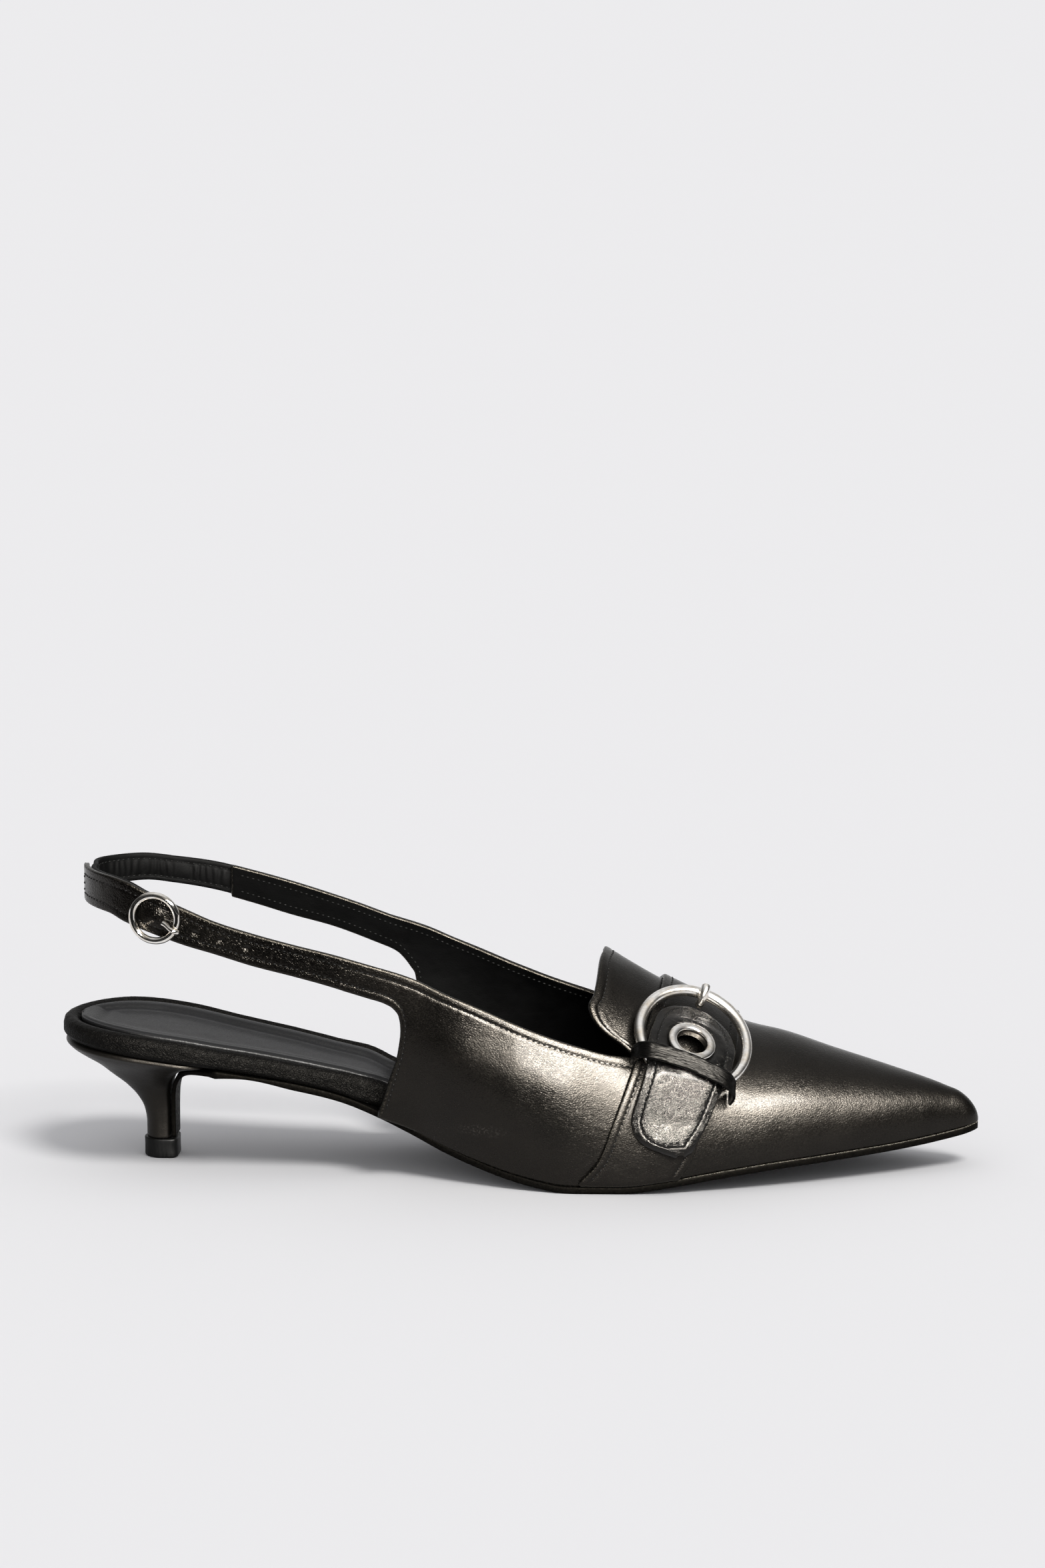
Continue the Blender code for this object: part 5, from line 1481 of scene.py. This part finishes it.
def make_sock():
    """The thin padded sock, dished in the heel seat, with a soft step round its filling."""
    back, front = SOCK_INSET - SEAT_OVERHANG - SEAT_BACK, TIP - SOCK_SETBACK
    turn = np.linspace(0, np.pi, 190)
    x = back + (front - back) * (0.6 * (1 - np.cos(turn)) / 2 + 0.4 * turn / np.pi)
    w = np.linspace(-1, 1, 84)
    w = np.sin(w * np.pi / 2)
    side = np.where(w < 0, -1.0, 1.0)[None, :]
    inset = (tuck(x) + SOCK_INSET)[:, None]
    wide = half_width(x[:, None], side, inset, back - inset, front + inset)
    y = AXIS(share(x))[:, None] + w[None, :] * np.maximum(wide, 0.0)
    level = rim(x[:, None], -1) * (1 - w) / 2 + rim(x[:, None], 1) * (1 + w) / 2
    z = feather(x)[:, None] + 2 * CLEARANCE + level * SOCK_DISH + SOCK_THICK * 0.95
    from_edge = np.maximum(wide, 0.0) * (1 - np.abs(w))[None, :]
    ends = np.minimum(x - back, front - x)[:, None]
    depth = np.minimum(from_edge, ends * 0.9)
    z = z - SOCK_HOLLOW * ease(1.5 * MM, 11 * MM, depth)
    z = z + 0.35 * MM * ease(0.2 * MM, 1.6 * MM, depth)
    z = z - 0.75 * MM * bell(depth, 5.4 * MM, 1.2 * MM) * (1 - ease(75 * MM, 95 * MM, x))[:, None]
    grid = np.stack([np.broadcast_to(x[:, None], y.shape), y, z], -1)
    place = np.stack([grid[..., 0] / MM, grid[..., 1] / MM, depth / MM], -1)
    flat = np.zeros(depth.shape)
    obj, _, _ = shell("sock", grid, every_cell(grid), SOCK_WALL, [SOCK_LEATHER] * 3, flat, place, bulge=0.5)
    put(obj, "sock")


def sole_ring(low, top, axis, lateral, medial, count=10):
    """One section of the sole: flat faces and an edge with a fine raised lip at the top."""
    points = []
    for side, half in ((-1, lateral), (1, medial)):
        soft = min(0.45 * MM, half * 0.3)
        arc = []
        for t in np.linspace(-np.pi / 2, np.pi / 2, count):
            mid = 0.5 + 0.5 * signed_power(np.sin(t), 0.8)
            point = np.array(low) + (np.array(top) - np.array(low)) * mid
            arc.append((point[0], axis + side * (half - soft + soft * np.cos(t) ** 0.6), point[1]))
        arc.append((top[0], axis + side * (half - soft - 0.9 * MM if half > 3 * MM else half * 0.4), top[1]))
        points.append(arc if side < 0 else arc[::-1])
    return np.array(points[0] + points[1])


def make_outsole():
    """The sole from the toe through the waist to the heel's front edge, and on down the heel's breast."""
    table = [(k, *row) for k, row in enumerate(BREAST)]
    along, high, half = (curve(table, n) for n in (1, 2, 3))
    steps = np.linspace(0, len(BREAST) - 1, 60)
    path = np.stack([station(along(steps)), heel_height(high(steps))], -1)
    tangents = unit(np.gradient(path, axis=0))
    rings = []
    for (x, z), (dx, dz), wide in zip(path, tangents, half(steps) * BALL_WIDTH):
        top = (x - dz * BREAST_THICK, z + dx * BREAST_THICK)
        rings.append(sole_ring((x, z), top, 0.0, wide, wide))
    step_low = path[-1, 1]
    reach = TIP - 0.1 * MM - FORE_SOLE_FROM
    stations = list(np.linspace(STEP_AT + BREAST_THICK, FORE_SOLE_FROM, 150))
    stations += [FORE_SOLE_FROM + reach * np.sin(t * np.pi / 2) for t in np.linspace(0, 1, 90)[1:]]
    for x in stations:
        seat = CLEARANCE * (1 - ease(*SEAT_GAP_ENDS, share(x)))
        wide = [float(half_width(x, side)) for side in (-1, 1)]
        low = step_low + (feather(x) - SOLE_THICK - step_low) * ease(*SEAT_TO_WAIST, share(x))
        rings.append(sole_ring((x, low), (x, feather(x) - seat), AXIS(share(x)), *wide))
    height = np.linspace(0, 1, 10)
    around = np.concatenate([height, [0.0, 0.0], height[::-1]])
    place = [[(p[0] / MM, h, 0.0) for p, h in zip(ring, around)] for ring in rings]
    put(loft("outsole", rings, [SOLE_EDGE], place=place), "outsole")


def heel_ring(back, back_z, front, front_z, half, seat, square=0.42, count=96):
    """A D-shaped ring: round behind, nearly straight across in front."""
    spread = min(half * 1.05, (front - back) * 0.6)
    middle = back + spread
    turn = full_turn(count)
    c, s = -np.cos(turn), -np.sin(turn)
    x = np.where(c <= 0, middle + spread * c, middle + (front - middle) * np.maximum(c, 0) ** square)
    y = np.where(c <= 0, half * s, half * signed_power(s, square))
    t = (x - back) / (front - back)
    chord = feather(back) + (feather(front) - feather(back)) * t
    return np.stack([x, y, back_z + (front_z - back_z) * t + seat * (feather(x) - chord)], -1)


def make_heel():
    """The wrapped heel: a flared seat drawn in to a slim stem."""
    columns = [curve(HEEL, n) for n in range(1, 7)]
    rings = []
    for k in np.linspace(0, len(HEEL) - 1, 90):
        back, back_high, front, front_high, half, seat = (float(c(k)) for c in columns)
        places = (station(back), heel_height(back_high), station(front), heel_height(front_high))
        rings.append(heel_ring(*places, half * BALL_WIDTH, seat))
    put(loft("heel", rings, [HEEL_LEATHER]), "heel")


def make_top_lift():
    """The hard tread under the heel, with a fine bevel and a slight waist."""
    rings = []
    for inset, share_up in LIFT_EDGE:
        back = inset * MM - LIFT_LENGTH / 2 - LIFT_OFFSET
        front = LIFT_LENGTH / 2 - LIFT_OFFSET - inset * MM
        z = share_up * LIFT_HEIGHT
        rings.append(heel_ring(back, z, front, z, LIFT_WIDTH / 2 - inset * MM, 0.0))
    put(loft("top_lift", rings, [LIFT_RUBBER]), "top_lift")


def direction(azimuth, up):
    """The direction so many degrees round from the camera's side of the shoe and above the floor."""
    azimuth, up = np.radians(azimuth), np.radians(up)
    return Vector((np.sin(azimuth) * np.cos(up), -np.cos(azimuth) * np.cos(up), np.sin(up)))


def turn_to(made, quaternion):
    made.rotation_mode = "QUATERNION"
    made.rotation_quaternion = quaternion


def make_camera():
    data = bpy.data.cameras.new("camera")
    data.lens = CAMERA_LENS
    data.sensor_width = CAMERA_FRAME
    data.clip_start, data.clip_end = 0.05, 200.0
    camera = add_object("camera", data)
    camera.location = CAMERA_AT
    turn_to(camera, (-direction(CAMERA_YAW, CAMERA_PITCH)).to_track_quat("-Z", "Y"))
    bpy.context.scene.camera = camera


FLOOR_TONE = 0.80
BACKDROP = (0.831, 0.831, 0.847)
KEY_FROM = (0.33, -0.42, 0.84)
KEY_STRENGTH = 1.68
KEY_ANGLE = 20.0
ROOM_FILL = 0.60
ROOM_UP = [
    # height of the direction, brightness in a reflection
    (0.00, 0.02),
    (0.50, 0.04),
    (0.78, 0.30),
    (0.95, 0.80),
]
ROOM_BEHIND = [
    # distance of the direction behind the shoe, brightness in a reflection
    (0.00, 0.00),
    (0.45, 0.08),
    (0.70, 0.45),
    (0.90, 0.80),
]
SOFTBOX_TOWARD = (23.0, 31.0)
SOFTBOX_AIM = (0.11, 0.0, 0.05)
SOFTBOX_SIZE = (1.16, 0.23)
SOFTBOX_AWAY = 1.2
SOFTBOX_ROLL = 27.0
SOFTBOX_POWER = 118.0
FLOOR_REACH = 60.0
FLAG = [
    # across, toward the camera
    (-6.0, 0.15),
    (0.12, 0.15),
    (0.26, 0.28),
    (6.00, 1.60),
    (6.00, 6.00),
    (-6.0, 6.00),
]


def make_softbox():
    """A long tilted softbox in front on the right, which only reflections show."""
    toward = direction(*SOFTBOX_TOWARD)
    data = bpy.data.lights.new("softbox", "AREA")
    data.shape = "RECTANGLE"
    data.size, data.size_y = SOFTBOX_SIZE
    data.energy = SOFTBOX_POWER
    data.color = (1.0, 0.975, 0.93)
    box = add_object("softbox", data)
    box.location = Vector(SOFTBOX_AIM) + toward * SOFTBOX_AWAY
    roll = Matrix.Rotation(np.radians(SOFTBOX_ROLL), 3, "Z").to_quaternion()
    turn_to(box, toward.to_track_quat("Z", "Y") @ roll)
    box.visible_camera = box.visible_diffuse = False


def sheet(name, corners, look):
    """A flat piece of the set."""
    mesh = bpy.data.meshes.new(name)
    mesh.from_pydata(corners, [], [range(len(corners))])
    mesh.materials.append(look)
    return add_object(name, mesh)


def make_flag():
    """Black cloth on the floor below the picture, which keeps the middle of the side dark."""
    cloth = Finish("black_cloth", (0.01, 0.01, 0.01), 0.9, specular_ior_level=0.0)
    flag = sheet("flag", [(across, -toward, 0.001) for across, toward in FLAG], cloth.material)
    flag.visible_camera = flag.visible_diffuse = flag.visible_shadow = False


def make_room():
    """Plain light for the floor, the pale backdrop for the camera, and a dark room for the reflections."""
    world = bpy.data.worlds.new("room")
    bpy.context.scene.world = world
    world.use_nodes = True
    world.cycles.sampling_method = "NONE"
    tree = world.node_tree
    new, link = tree.nodes.new, tree.links.new
    shown, fill, gloss = tree.nodes["Background"], new("ShaderNodeBackground"), new("ShaderNodeBackground")
    shown.inputs["Color"].default_value = (*BACKDROP, 1.0)
    fill.inputs["Color"].default_value = (ROOM_FILL, ROOM_FILL, ROOM_FILL * 1.02, 1.0)
    where, split, total = (new("ShaderNode" + kind) for kind in ("TexCoord", "SeparateXYZ", "VectorMath"))
    link(where.outputs["Generated"], split.inputs[0])
    for socket, (axis, table) in enumerate((("Z", ROOM_UP), ("Y", ROOM_BEHIND))):
        ramp = new("ShaderNodeValToRGB")
        for _ in table[2:]:
            ramp.color_ramp.elements.new(0.5)
        for element, (position, light) in zip(ramp.color_ramp.elements, table):
            element.position = position
            element.color = (light, light, light, 1.0)
        link(split.outputs[axis], ramp.inputs[0])
        link(ramp.outputs[0], total.inputs[socket])
    link(total.outputs[0], gloss.inputs["Color"])
    path, first, last = (new("ShaderNode" + kind) for kind in ("LightPath", "MixShader", "MixShader"))
    for mixer, ray, other, met in ((first, "Is Glossy Ray", fill, gloss), (last, "Is Camera Ray", first, shown)):
        for socket, source in enumerate((path.outputs[ray], other.outputs[0], met.outputs[0])):
            link(source, mixer.inputs[socket])
    link(last.outputs[0], tree.nodes["World Output"].inputs["Surface"])


def make_studio():
    """A pale endless floor, one large soft key light, and the softbox, flag and room for the reflections."""
    floor_look = Finish("floor_paper", (FLOOR_TONE, FLOOR_TONE, FLOOR_TONE * 1.015), 0.9, specular_ior_level=0.0)
    fleck = floor_look.noise(floor_look.object_mm(), 0.004, 2.0)
    tones = [tuple(FLOOR_TONE * s * b for b in (1.0, 1.0, 1.015)) for s in (0.998, 1.002)]
    floor_look.set("Base Color", floor_look.mix(fleck, *tones))
    corners = [(x * FLOOR_REACH, y * FLOOR_REACH, 0) for x, y in ((-1, -1), (1, -1), (1, 1), (-1, 1))]
    floor = sheet("floor", corners, floor_look.material)
    data = bpy.data.lights.new("key", "SUN")
    data.energy = KEY_STRENGTH
    data.angle = np.radians(KEY_ANGLE)
    data.color = (1.0, 0.985, 0.965)
    key = add_object("key", data)
    turn_to(key, Vector(KEY_FROM).to_track_quat("Z", "Y"))
    key.visible_glossy = False
    make_softbox()
    make_flag()
    make_room()
    bpy.context.scene.view_settings.view_transform = "Standard"


make_camera()
make_studio()
make_upper()
make_flap()
make_band()
make_buckle_strap()
make_keeper()
make_metal()
make_back_strap()
make_insole()
make_sock()
make_outsole()
make_heel()
make_top_lift()
